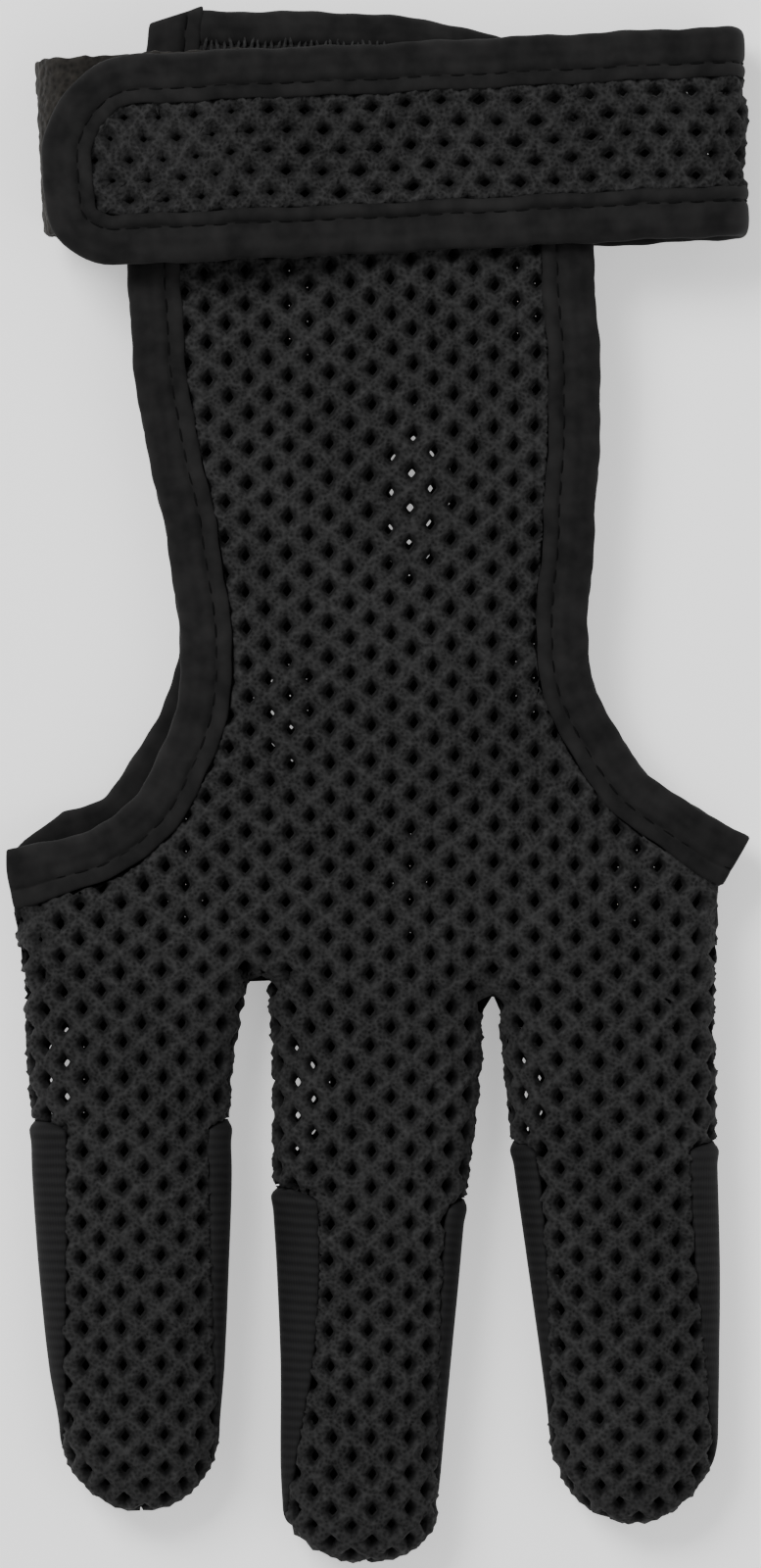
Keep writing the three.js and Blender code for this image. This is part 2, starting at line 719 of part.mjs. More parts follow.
// A band that follows a line: length along it, across over its width, height off its face.
class Band {
  constructor(line, outSide) {
    this.line = line;
    this.outSide = outSide;
    this.lengths = [0];
    for (let i = 1; i < line.length; i += 1) {
      this.lengths.push(this.lengths[i - 1] + line[i].distanceTo(line[i - 1]));
    }
  }

  get length() {
    return this.lengths.at(-1);
  }

  normal(i) {
    const next = this.line[Math.min(i + 1, this.line.length - 1)];
    const last = this.line[Math.max(i - 1, 0)];
    const along = next.clone().sub(last).normalize();
    return new THREE.Vector2(-along.y, along.x).multiplyScalar(this.outSide);
  }

  point(length, across, height) {
    const found = this.lengths.findIndex((value) => value > length);
    const i = found < 1 ? (found === 0 ? 0 : this.lengths.length - 2) : found - 1;
    const share = (length - this.lengths[i]) / (this.lengths[i + 1] - this.lengths[i]);
    const place = this.line[i].clone().lerp(this.line[i + 1], share);
    const up = this.normal(i).lerp(this.normal(i + 1), clamp(share, 0, 1)).normalize();
    return new THREE.Vector3(place.x + up.x * height, across, place.y + up.y * height);
  }

  // A sheet of this band between two width lines given as functions of the length.
  sheet(lengths, lower, upper, thickness, cells) {
    const wall = new Wall();
    const rows = lengths.map((length) => [...Array(cells + 1).keys()].map((c) => {
      const across = lerp(lower(length), upper(length), c / cells);
      return {
        outer: this.point(length, across, thickness / 2),
        inner: this.point(length, across, -thickness / 2),
      };
    }));
    for (let r = 0; r < rows.length - 1; r += 1) {
      for (let c = 0; c < cells; c += 1) {
        wall.patch(rows[r][c], rows[r + 1][c], rows[r + 1][c + 1], rows[r][c + 1]);
      }
    }
    return wall.geometry();
  }
}

// The tab's end has a large upper corner and a smaller lower one.
const tabUpperCorner = { length: 13.6, across: 15.4 };
const tabLowerCorner = { length: 11.0, across: 9.0 };

// The edge of the tab at a corner, moved in from its outline.
function cornerEdge(corner, inset, length) {
  const share = clamp((corner.length - length) / (corner.length - inset), 0, 1);
  const rise = (corner.across - inset) * Math.sqrt(1 - share * share);
  return strapWidth / 2 - corner.across + rise;
}

function strapMeshGeometry(band) {
  const inset = strapTapeWidth + clearance;
  const cornerSteps = [0, 1.2, 3, 5].map((step) => inset + step);
  const lengths = [...cornerSteps, ...band.lengths.filter((value) => value > inset + 6)];
  const lower = (length) => -cornerEdge(tabLowerCorner, inset, length);
  const upper = (length) => cornerEdge(tabUpperCorner, inset, length);
  return band.sheet(lengths, lower, upper, meshWall, 4);
}

// The strap's tape goes down one edge, round the tab's end and back along the other edge.
function strapBindingGeometry(band) {
  const inset = strapTapeWidth / 2;
  const middle = strapWidth / 2 - inset;
  const route = [];
  const straight = band.lengths.filter((value) => value > tabUpperCorner.length + 0.5);
  const corner = (shape, side) => {
    const steps = 6;
    const points = [];
    for (let i = 0; i <= steps; i += 1) {
      const turn = Math.PI / 2 * i / steps;
      points.push({
        length: shape.length - (shape.length - inset) * Math.sin(turn),
        across: side * (strapWidth / 2 - shape.across + (shape.across - inset) * Math.cos(turn)),
        outLength: -Math.sin(turn),
        outAcross: side * Math.cos(turn),
      });
    }
    return points;
  };
  for (const length of [...straight].reverse()) {
    route.push({ length, across: middle, outLength: 0, outAcross: 1 });
  }
  route.push(...corner(tabUpperCorner, 1), ...corner(tabLowerCorner, -1).reverse());
  for (const length of straight) {
    route.push({ length, across: -middle, outLength: 0, outAcross: -1 });
  }
  const section = tapeSection(strapTapeWidth, strapTapeThickness);
  const rings = route.map((stop) => section.map(({ x, y }) => band.point(
    stop.length + stop.outLength * (x - inset),
    stop.across + stop.outAcross * (x - inset),
    y,
  )));
  return sweptTape(rings, section);
}

function pileStripGeometry(band) {
  const lower = () => pileShift - pileWidth / 2;
  const upper = () => pileShift + pileWidth / 2;
  return band.sheet(band.lengths, lower, upper, pileThickness, 2);
}

// Finishes: black air mesh, black tape, ribbed facing cloth and a browner loop pile.
const finishes = {
  mesh: new THREE.MeshStandardMaterial({ color: 0x2d2d2e, roughness: 0.85, metalness: 0 }),
  tape: new THREE.MeshStandardMaterial({ color: 0x212122, roughness: 0.92, metalness: 0 }),
  facing: new THREE.MeshStandardMaterial({ color: 0x1c1c1e, roughness: 0.75, metalness: 0 }),
  pile: new THREE.MeshStandardMaterial({ color: 0x282623, roughness: 1, metalness: 0 }),
};

function piece(name, geometry, finish) {
  const mesh = new THREE.Mesh(geometry, finishes[finish].clone());
  mesh.name = name;
  return mesh;
}

const glove = new THREE.Group();

const body = new THREE.Group();
body.add(piece('back_panel', backPanelGeometry(), 'mesh'));
body.add(piece('palm_panel', palmPanelGeometry(), 'mesh'));
for (const finger of fingers) {
  body.add(piece(`${finger.name}_finger_facing`, facingGeometry(finger), 'facing'));
}
const sideReach = bindingWidth - 1.2;
const wristWidth = (panelEdges[0].rightOut - panelEdges[0].leftOut) * handHalfWidth;
const wristEndSlope = 4 * wristEdgeDrop / wristWidth;
const lean = (side) => {
  const { out } = sideFrames(backLayer, side)[0];
  return out.y / Math.abs(out.x);
};
const cornerDrop = bindingWidth * (wristEndSlope + lean('right'));
const cornerLean = bindingWidth * lean('left');
// The slanted end of the right tapes takes the room of their second frame.
const rightFrames = (layer) => sideFrames(layer, 'right').filter((frame, i) => i !== 1);
for (const [layerName, layer] of [['back', backLayer], ['palm', palmLayer]]) {
  const isBack = layer === backLayer;
  const slant = isBack ? slantedEndRise : 0;
  const left = { before: isBack ? sideReach : sideReach - 1, after: 1.4, slant };
  const right = { before: -clearance - cornerDrop / 2, after: 2.2, slant: cornerDrop };
  const wrist = { before: -clearance - cornerLean, after: bindingWidth };
  body.add(piece(`${layerName}_left_binding`, bindingGeometry(sideFrames(layer, 'left'), left), 'tape'));
  body.add(piece(`${layerName}_right_binding`, bindingGeometry(rightFrames(layer), right), 'tape'));
  body.add(piece(`${layerName}_wrist_binding`, bindingGeometry(wristFrames(layer), wrist), 'tape'));
}
glove.add(body);

const strap = new THREE.Group();
const strapBand = new Band(strapLine(), 1);
const pileBand = new Band(pileLine(), 1);
strap.add(piece('strap_mesh', strapMeshGeometry(strapBand), 'mesh'));
strap.add(piece('strap_binding', strapBindingGeometry(strapBand), 'tape'));
strap.add(piece('pile_strip', pileStripGeometry(pileBand), 'pile'));
const hookWidth = strapWidth - 2 * strapTapeWidth - 1;
const hook = piece('hook_patch', new THREE.BoxGeometry(hookLength, hookWidth, hookThickness), 'pile');
hook.position.set(pileEndX - hookLength / 2, 0, hookLevel);
strap.add(hook);
strap.position.y = strapMiddleY;
strap.rotation.z = strapTilt;
glove.add(strap);

// The origin is the middle of the foot of the whole glove.
glove.updateMatrixWorld(true);
const extent = new THREE.Box3().setFromObject(glove, true);
const foot = extent.getCenter(new THREE.Vector3());
glove.position.set(-foot.x, -foot.y, -extent.min.z);

export default glove;
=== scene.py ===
"""Three-finger archery glove of air mesh with taped edges and a wrist strap.

It lies flat with the back of the hand up. Lengths are worked out in millimetres, as in the
part's source, and turned into metres where a mesh is made. +Y runs to the wrist and +Z up.
"""

import logging
import math
from collections.abc import Callable, Iterator, Sequence
from contextlib import contextmanager
from dataclasses import dataclass, field
from enum import Enum

import bmesh
import bpy
import numpy as np
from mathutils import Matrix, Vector
from mathutils.bvhtree import BVHTree

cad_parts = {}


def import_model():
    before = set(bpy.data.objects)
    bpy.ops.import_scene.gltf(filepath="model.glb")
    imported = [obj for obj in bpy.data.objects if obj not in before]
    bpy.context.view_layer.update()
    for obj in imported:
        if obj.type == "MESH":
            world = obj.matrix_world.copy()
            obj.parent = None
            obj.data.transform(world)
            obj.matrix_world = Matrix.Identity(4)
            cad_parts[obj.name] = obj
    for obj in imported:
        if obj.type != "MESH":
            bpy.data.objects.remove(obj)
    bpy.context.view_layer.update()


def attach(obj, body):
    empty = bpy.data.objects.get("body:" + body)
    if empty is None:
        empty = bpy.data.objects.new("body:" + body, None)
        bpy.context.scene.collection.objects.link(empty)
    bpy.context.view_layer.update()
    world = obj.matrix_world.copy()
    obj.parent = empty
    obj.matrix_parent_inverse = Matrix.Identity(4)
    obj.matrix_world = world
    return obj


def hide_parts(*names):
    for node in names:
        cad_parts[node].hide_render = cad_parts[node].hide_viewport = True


log = logging.getLogger("glove")

MM = 0.001

# Vertices that lie nearer than this many metres are one, and a point this far past a
# cloth's edge, in millimetres, no longer lies on the cloth
SAME_PLACE = 1e-6
PAST_EDGE = 1e-4

# Where the source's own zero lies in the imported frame, in millimetres
FRAME_SHIFT = np.array([0.5014, 0.1527, 0.0])

# Cloth and tape, as in the part's source
MESH_WALL = 1.6
FACING_WALL = 1.2
BINDING_WIDTH = 7.8
BINDING_THICKNESS = 2.2
CLEARANCE = 0.3

# Hand
HAND_LENGTH = 120.0
HAND_HALF_WIDTH = 52.0
WRIST_EDGE_Y = 102.9
GLOVE_HEIGHT = 13.0
WRIST_EDGE_DROP = 4.5
PALM_FLARE = 2.0
PALM_FLARE_START = 0.58
PALM_FLARE_RUN = 0.3
PALM_FLARE_RETURN = 1.4
WRIST_DIP_RUN = 0.2
PALM_RISE = 3.8
PALM_WRIST_SETBACK = 3.0
PALM_EDGE_LIFT = 0.12
SLANTED_END_RISE = 3.4
BINDING_DROOP = 0.13

# Fingers
FINGER_WIDTH = 32.0
STALL_ROUNDNESS_ABOVE = 2.2
STALL_ROUNDNESS_BENEATH = 2.8
LEFT_CROTCH_Y = -27.7
RIGHT_CROTCH_Y = -30.9

# Wrist strap
STRAP_WIDTH = 30.0
STRAP_TAPE_WIDTH = 7.4
STRAP_TAPE_THICKNESS = 2.2
STRAP_TILT = math.radians(2.9)
STRAP_MIDDLE_Y = 90.5
STRAP_LEFT_X = -48.3
STRAP_RIGHT_X = 52.8
STRAP_BACK_END_X = -28.0
STRAP_FOLD_REACH = 7.0
STRAP_WAVY_START = 16.0
STRAP_WAVY_RUN = 12.0
PILE_WIDTH = 25.0
PILE_SHIFT = 2.8
PILE_THICKNESS = 1.8
PILE_END_X = -18.0
PILE_FOLD_REACH = 5.0
PILE_REACH = 0.6
HOOK_LENGTH = 20.0
HOOK_THICKNESS = 1.0

# Levels of the layers where the strap holds the wrist
STRAP_BACK_LEVEL = STRAP_TAPE_THICKNESS / 2
PALM_WRIST_LEVEL = STRAP_TAPE_THICKNESS + CLEARANCE + BINDING_THICKNESS / 2
WRIST_HOLLOW = 5.2
BACK_WRIST_LEVEL = PALM_WRIST_LEVEL + MESH_WALL + WRIST_HOLLOW
PILE_TOP_LEVEL = BACK_WRIST_LEVEL + BINDING_THICKNESS / 2 + CLEARANCE + PILE_THICKNESS / 2
HOOK_LEVEL = PILE_TOP_LEVEL + (PILE_THICKNESS + HOOK_THICKNESS) / 2 + CLEARANCE
TAB_LEVEL = HOOK_LEVEL + (HOOK_THICKNESS + MESH_WALL) / 2 + CLEARANCE
STRAP_FRONT_LEVEL = BACK_WRIST_LEVEL + (BINDING_THICKNESS + STRAP_TAPE_THICKNESS) / 2 + 0.4

# Side edges of the panels: station, then how far down the left edge is (a share of the hand's
# length), how far out it is (a share of its half width), and the same for the right edge
PANEL_EDGES = np.array([
    [0.00, 0.000, -0.491, 0.000, 0.359],
    [0.14, 0.145, -0.521, 0.145, 0.427],
    [0.22, 0.229, -0.540, 0.229, 0.430],
    [0.38, 0.395, -0.513, 0.395, 0.451],
    [0.53, 0.553, -0.438, 0.553, 0.435],
    [0.68, 0.716, -0.394, 0.716, 0.419],
    [0.76, 0.806, -0.429, 0.806, 0.489],
    [0.83, 0.887, -0.513, 0.887, 0.615],
    [0.88, 0.926, -0.583, 0.923, 0.715],
    [0.92, 0.957, -0.664, 0.943, 0.790],
    [0.96, 0.980, -0.777, 0.956, 0.847],
    [1.00, 1.000, -0.984, 0.970, 0.903],
])

# How the middle and the side edges of the two panels rise: station, back crown, back edge,
# palm crown, palm edge
PANEL_RISE = np.array([
    [0.00, 0.00, 0.00, 0.00, 0.00],
    [0.23, 0.00, 0.00, 0.00, 0.00],
    [0.30, 0.30, -0.06, 0.60, 0.60],
    [0.38, 0.55, -0.12, 1.00, 1.00],
    [0.53, 0.77, -0.14, 1.00, 1.00],
    [0.68, 0.82, -0.18, 1.00, 1.00],
    [0.83, 0.91, -0.34, 1.00, 0.72],
    [0.92, 0.95, -0.62, 1.00, 0.10],
    [1.00, 1.00, -1.00, 1.00, -0.45],
])


def lerp(start: float, end: float, share: float) -> float:
    """Returns the value that lies at a share of the way from start to end."""
    return start + (end - start) * share


def clamp(value: float, low: float = 0.0, high: float = 1.0) -> float:
    """Returns the value held between low and high."""
    return max(low, min(high, value))


def smooth(value: float | np.ndarray) -> float | np.ndarray:
    """Returns a smooth step from 0 to 1 over the same range, also for many values at once."""
    held = np.clip(value, 0.0, 1.0)
    return held * held * (3 - 2 * held)


def unit(directions: np.ndarray) -> np.ndarray:
    """Returns one direction, or rows of them, at length 1."""
    return directions / np.linalg.norm(directions, axis=-1, keepdims=True)


def reach_along(line: np.ndarray) -> np.ndarray:
    """Returns how far along a line of points each of them lies."""
    return np.concatenate([[0], np.cumsum(np.linalg.norm(np.diff(line, axis=0), axis=1))])


def place_along(at: float, reach: np.ndarray, line: np.ndarray) -> np.ndarray:
    """Returns the place at a length along a line, between its points."""
    return np.array([np.interp(at, reach, column) for column in line.T])


def waves(x: float | np.ndarray, y: float | np.ndarray, rows: Sequence[tuple]) -> float | np.ndarray:
    """Adds up slow waves, which make cloth a little uneven.

    Args:
        x: Places across, in millimetres.
        y: Places along, in millimetres.
        rows: For each wave its height, its steps across and along for one radian, and
            where it starts.

    Returns:
        The sum at each place.
    """
    return sum(height * np.sin(x / across + y / along + start) for height, across, along, start in rows)


def neighbours(count: int) -> tuple[np.ndarray, np.ndarray]:
    """Returns the numbers of the points before and after each point of a line."""
    numbers = np.arange(count)
    return np.maximum(numbers - 1, 0), np.minimum(numbers + 1, count - 1)


def table_line(table: np.ndarray, column: int) -> Callable[[float], float]:
    """Makes a smooth line through one column of a table.

    Args:
        table: Rows whose first value is the place along.
        column: The column that the line goes through.

    Returns:
        A function from a place along to the value there.
    """
    along = table[:, 0]
    values = table[:, column]
    before, after = neighbours(len(along))
    slopes = (values[after] - values[before]) / (along[after] - along[before])

    def line(at: float) -> float:
        i = int(np.clip(np.searchsorted(along, at, side="right") - 1, 0, len(along) - 2))
        span = along[i + 1] - along[i]
        t = clamp((at - along[i]) / span)
        t2 = t * t
        t3 = t2 * t
        return float(
            (2 * t3 - 3 * t2 + 1) * values[i]
            + (t3 - 2 * t2 + t) * span * slopes[i]
            + (3 * t2 - 2 * t3) * values[i + 1]
            + (t3 - t2) * span * slopes[i + 1]
        )

    return line


class Side(Enum):
    """The two sides of the hand, as the photograph shows them."""

    LEFT = "left"
    RIGHT = "right"


@dataclass
class Layer:
    """One of the two panels of the hand, and the levels that it lies at.

    up is 1 for the back of the hand and -1 for the palm.
    """

    name: str
    up: int
    wrist_face: float
    crown_face: float
    edge_reach: float
    crown: Callable[[float], float]
    edge: Callable[[float], float]

    def sides(self, station: float) -> tuple[np.ndarray, np.ndarray]:
        """Returns the places of the left and right edges at a station."""
        left_down, left_out, right_down, right_out = (line(station) for line in EDGE_LINES)
        flare = smooth((station - PALM_FLARE_START) / PALM_FLARE_RUN) if self.up < 0 else 0.0
        shown = 1 - PALM_FLARE_RETURN * smooth(station * 5 - 4)
        left = np.array([
            left_out * HAND_HALF_WIDTH - PALM_FLARE * flare * shown,
            WRIST_EDGE_Y - left_down * HAND_LENGTH + PALM_RISE * flare,
        ])
        right = np.array([
            right_out * HAND_HALF_WIDTH,
            WRIST_EDGE_Y - right_down * HAND_LENGTH,
        ])
        return left, right

    def point(self, station: float, share: float) -> np.ndarray:
        """Returns a point of the outer face. share runs from the left edge to the right one."""
        left, right = self.sides(station)
        u = 2 * share - 1
        setback = PALM_WRIST_SETBACK if self.up < 0 else 0.0
        dip = (1 - smooth(station / WRIST_DIP_RUN)) * (WRIST_EDGE_DROP * share**4 + setback)
        x = lerp(left[0], right[0], share)
        y = lerp(left[1], right[1], share) - dip
        crown = lerp(self.wrist_face, self.crown_face, self.crown(station))
        edge = self.wrist_face + self.up * self.edge_reach * self.edge(station)
        return np.array([x, y, edge + (crown - edge) * (1 - u * u)])

    def middle(self, station: float, share: float) -> np.ndarray:
        """Returns a point half way through the wall."""
        return self.point(station, share) - np.array([0, 0, self.up * MESH_WALL / 2])


EDGE_LINES = [table_line(PANEL_EDGES, column) for column in range(1, 5)]

BACK = Layer(
    name="back",
    up=1,
    wrist_face=BACK_WRIST_LEVEL + MESH_WALL / 2,
    crown_face=GLOVE_HEIGHT,
    edge_reach=2.2,
    crown=table_line(PANEL_RISE, 1),
    edge=table_line(PANEL_RISE, 2),
)
PALM = Layer(
    name="palm",
    up=-1,
    wrist_face=PALM_WRIST_LEVEL - MESH_WALL / 2,
    crown_face=BINDING_THICKNESS / 2 - MESH_WALL / 2,
    edge_reach=PALM_WRIST_LEVEL - BINDING_THICKNESS / 2 - PALM_EDGE_LIFT,
    crown=table_line(PANEL_RISE, 3),
    edge=table_line(PANEL_RISE, 4),
)


@dataclass
class Finger:
    """One finger of the glove, whose stall is the tube that holds the finger.

    sections holds rows of place along, middle (a share of the hand's half width), width (a
    share of FINGER_WIDTH) and height (a share of GLOVE_HEIGHT). hem is where the facing
    starts and round_from where the tip starts to round, both as shares of the length.
    """

    name: str
    length: float
    root_left_y: float
    root_right_y: float
    hem: float
    round_from: float
    strips: dict[Side, float]
    run_outs: dict[Side, float]
    facing_end: float
    sections: np.ndarray

    def __post_init__(self) -> None:
        """Makes the smooth lines through the table of sections."""
        self.middle_line = table_line(self.sections, 1)
        self.width_line = table_line(self.sections, 2)
        self.height_line = table_line(self.sections, 3)

    def size(self, along: float, wall: float) -> tuple[float, float, float, float, float]:
        """Finds the section at a place along.

        Args:
            along: Share of the length from the root.
            wall: What is taken off all round.

        Returns:
            The middle's x, its level, the half width, the half height, and how far the
            tip is drawn back.
        """
        place = min(along, self.round_from)
        rounding = clamp((along - self.round_from) / (1 - self.round_from))
        turn = math.asin(rounding)
        half_height = self.height_line(place) * GLOVE_HEIGHT / 2
        half_width = self.width_line(place) * FINGER_WIDTH / 2
        return (
            self.middle_line(along) * HAND_HALF_WIDTH,
            half_height,
            (half_width - wall) * math.cos(turn),
            (half_height - wall) * math.cos(turn),
            wall * math.sin(turn),
        )

    def point(self, along: float, angle: float, wall: float = 0.0) -> np.ndarray:
        """Returns a point of the stall; angle 0 is its right side and half a turn its left."""
        middle, level, half_width, half_height, drawn_back = self.size(along, wall)
        across, up = stall_section(half_width, half_height, angle)
        tip_y = (self.root_left_y + self.root_right_y) / 2 - self.length
        share = clamp(0.5 + 0.5 * math.cos(angle))
        root_y = lerp(self.root_left_y, self.root_right_y, share)
        return np.array([middle + across, lerp(root_y, tip_y, along) + drawn_back, level + up])

    def seam_angle(self, along: float, side: Side) -> float:
        """Returns the angle of the seam between back and underside, from that side."""
        if along < self.hem:
            return 0.0
        run_out = self.run_outs[side]
        if along < run_out:
            half_width = self.size(along, 0)[2]
            turn = (along - self.hem) / (run_out - self.hem) * math.pi / 2
            shown = self.strips[side] * math.cos(turn)
            return math.acos((1 - shown / half_width) ** 1.1)
        closing = smooth((along - run_out) / (self.facing_end - run_out))
        return -math.pi / 2 * closing

    def seams(self, along: float, offset: float) -> tuple[float, float]:
        """Returns the angles of the left and right seams, moved by an offset along the wall."""
        _, _, half_width, half_height, _ = self.size(min(along, self.facing_end), 0)
        left = self.seam_angle(along, Side.LEFT)
        right = self.seam_angle(along, Side.RIGHT)
        if right <= -math.pi / 2:
            return math.pi * 1.5, -math.pi / 2
        return (
            math.pi - angle_after(half_width, half_height, left, offset),
            angle_after(half_width, half_height, right, offset),
        )


def stall_section(half_width: float, half_height: float, angle: float) -> tuple[float, float]:
    """Returns a point of a stall's section, which is broad at the sides and flat beneath."""
    power = 2 / (STALL_ROUNDNESS_ABOVE if math.sin(angle) > 0 else STALL_ROUNDNESS_BENEATH)
    across = math.copysign(abs(math.cos(angle)) ** power, math.cos(angle))
    up = math.copysign(abs(math.sin(angle)) ** power, math.sin(angle))
    return half_width * across, half_height * up


def angle_after(half_width: float, half_height: float, angle: float, distance: float) -> float:
    """Returns the angle that lies a distance further round a stall's section."""
    if distance == 0:
        return angle
    step = math.copysign(0.004, distance)
    start = stall_section(half_width, half_height, angle)
    turned = angle
    while math.dist(stall_section(half_width, half_height, turned), start) < abs(distance):
        turned += step
    return turned


FINGERS = [
    Finger(
        name="left", length=76.4, root_left_y=LEFT_CROTCH_Y, root_right_y=LEFT_CROTCH_Y,
        hem=0.264, round_from=0.846, facing_end=0.965,
        strips={Side.LEFT: 4.9, Side.RIGHT: 2.9},
        run_outs={Side.LEFT: 0.87, Side.RIGHT: 0.85},
        sections=np.array([
            [0.00, -0.671, 1.030, 1.00],
            [0.14, -0.688, 0.945, 1.00],
            [0.26, -0.688, 0.900, 0.99],
            [0.37, -0.684, 0.898, 0.98],
            [0.55, -0.679, 0.853, 0.96],
            [0.73, -0.671, 0.788, 0.94],
            [0.85, -0.663, 0.718, 0.92],
            [1.00, -0.660, 0.718, 0.90],
        ]),
    ),
    Finger(
        name="middle", length=82.2, root_left_y=LEFT_CROTCH_Y, root_right_y=RIGHT_CROTCH_Y,
        hem=0.353, round_from=0.903, facing_end=0.975,
        strips={Side.LEFT: 6.3, Side.RIGHT: 2.2},
        run_outs={Side.LEFT: 0.92, Side.RIGHT: 0.86},
        sections=np.array([
            [0.00, -0.016, 0.990, 1.00],
            [0.13, -0.011, 0.950, 1.00],
            [0.35, -0.031, 0.875, 0.99],
            [0.50, -0.035, 0.818, 0.98],
            [0.66, -0.042, 0.762, 0.96],
            [0.83, -0.054, 0.722, 0.94],
            [0.90, -0.055, 0.700, 0.92],
            [1.00, -0.045, 0.700, 0.90],
        ]),
    ),
    Finger(
        name="right", length=75.0, root_left_y=RIGHT_CROTCH_Y, root_right_y=RIGHT_CROTCH_Y,
        hem=0.268, round_from=0.819, facing_end=0.960,
        strips={Side.LEFT: 3.0, Side.RIGHT: 3.7},
        run_outs={Side.LEFT: 0.80, Side.RIGHT: 0.88},
        sections=np.array([
            [0.00, 0.620, 0.995, 1.00],
            [0.15, 0.633, 0.958, 1.00],
            [0.27, 0.642, 0.928, 0.99],
            [0.50, 0.669, 0.866, 0.97],
            [0.70, 0.688, 0.797, 0.95],
            [0.82, 0.696, 0.762, 0.93],
            [1.00, 0.694, 0.762, 0.90],
        ]),
    ),
]


# Making meshes


def deselect_all() -> None:
    """Deselects every object, so that an operator acts only on the new one."""
    for other in bpy.context.selected_objects:
        other.select_set(False)


def activate(piece: bpy.types.Object) -> None:
    """Makes one object the only selected one and the active one."""
    deselect_all()
    piece.select_set(True)
    bpy.context.view_layer.objects.active = piece


@contextmanager
def editing_all() -> Iterator[None]:
    """Runs what follows in edit mode, with the whole active piece selected."""
    bpy.ops.object.mode_set(mode="EDIT")
    bpy.ops.mesh.select_all(action="SELECT")
    yield
    bpy.ops.object.mode_set(mode="OBJECT")


def spread_cloth(layer: bpy.types.MeshUVLoopLayer, mesh: bpy.types.Mesh, flat: np.ndarray) -> None:
    """Writes the vertices' places on the flat cloth, in millimetres, into a UV map."""
    corners = np.zeros(len(mesh.loops), np.int32)
    mesh.loops.foreach_get("vertex_index", corners)
    layer.data.foreach_set("uv", (flat[corners] * MM).astype(np.float32).ravel())


def mesh_piece(name: str, places: np.ndarray, faces: Sequence) -> bpy.types.Object:
    """Adds a piece whose vertices are given in millimetres in the glove's frame."""
    mesh = bpy.data.meshes.new(name)
    mesh.from_pydata(((places + FRAME_SHIFT) * MM).tolist(), [], faces)
    piece = bpy.data.objects.new(name, mesh)
    bpy.context.collection.objects.link(piece)
    activate(piece)
    return piece


def grid_piece(name: str, places: np.ndarray, flat: np.ndarray) -> bpy.types.Object:
    """Adds a grid primitive and moves its vertices to their places.

    Args:
        name: The piece's name.
        places: Millimetres, in rows and columns: (rows, columns, 3).
        flat: The same vertices on the flat cloth, in millimetres: (rows, columns, 2).

    Returns:
        The new object, with the flat places kept as its UV map.
    """
    rows, columns = places.shape[:2]
    deselect_all()
    bpy.ops.mesh.primitive_grid_add(x_subdivisions=columns - 1, y_subdivisions=rows - 1, size=2)
    piece = bpy.context.object
    piece.name = name
    piece.data.name = name
    mesh = piece.data
    framed = (places.reshape(-1, 3) + FRAME_SHIFT) * MM
    mesh.vertices.foreach_set("co", framed.astype(np.float32).ravel())
    spread_cloth(mesh.uv_layers[0], mesh, flat.reshape(-1, 2))
    mesh.update()
    return piece


def thicken(piece: bpy.types.Object, wall: float, outwards: float = 0.0) -> None:
    """Gives a sheet its thickness and smooths it.

    Args:
        piece: A sheet whose faces point outwards.
        wall: Thickness in millimetres.
        outwards: Where the wall lies: -1 inside the sheet, 0 about it, 1 outside it.
    """
    solid = piece.modifiers.new("wall", "SOLIDIFY")
    solid.thickness = wall * MM
    solid.offset = outwards
    solid.use_even_offset = False
    rounded = piece.modifiers.new("rounded", "SUBSURF")
    rounded.levels = 1
    activate(piece)
    for modifier in list(piece.modifiers):
        bpy.ops.object.modifier_apply(modifier=modifier.name)
    bpy.ops.object.shade_smooth()


def point_outwards(piece: bpy.types.Object) -> None:
    """Merges doubles and turns the faces of a closed piece outwards."""
    activate(piece)
    with editing_all():
        bpy.ops.mesh.remove_doubles(threshold=SAME_PLACE)
        bpy.ops.mesh.normals_make_consistent(inside=False)


def place_piece(
    piece: bpy.types.Object, material: bpy.types.Material, nodes: Sequence[str] = ()
) -> bpy.types.Object:
    """Gives a finished piece its material and its body, and hides the CAD nodes that it stands for."""
    piece.data.materials.clear()
    piece.data.materials.append(material)
    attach(piece, "root")
    if nodes:
        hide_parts(*nodes)
    log.info("%s: %d faces", piece.name, len(piece.data.polygons))
    return piece


def turned(along: float, across: float, level: float) -> np.ndarray:
    """Turns a place in the strap's own frame, in millimetres, into the glove's frame."""
    cos, sin = math.cos(STRAP_TILT), math.sin(STRAP_TILT)
    return np.array([along * cos - across * sin, along * sin + across * cos + STRAP_MIDDLE_Y, level])


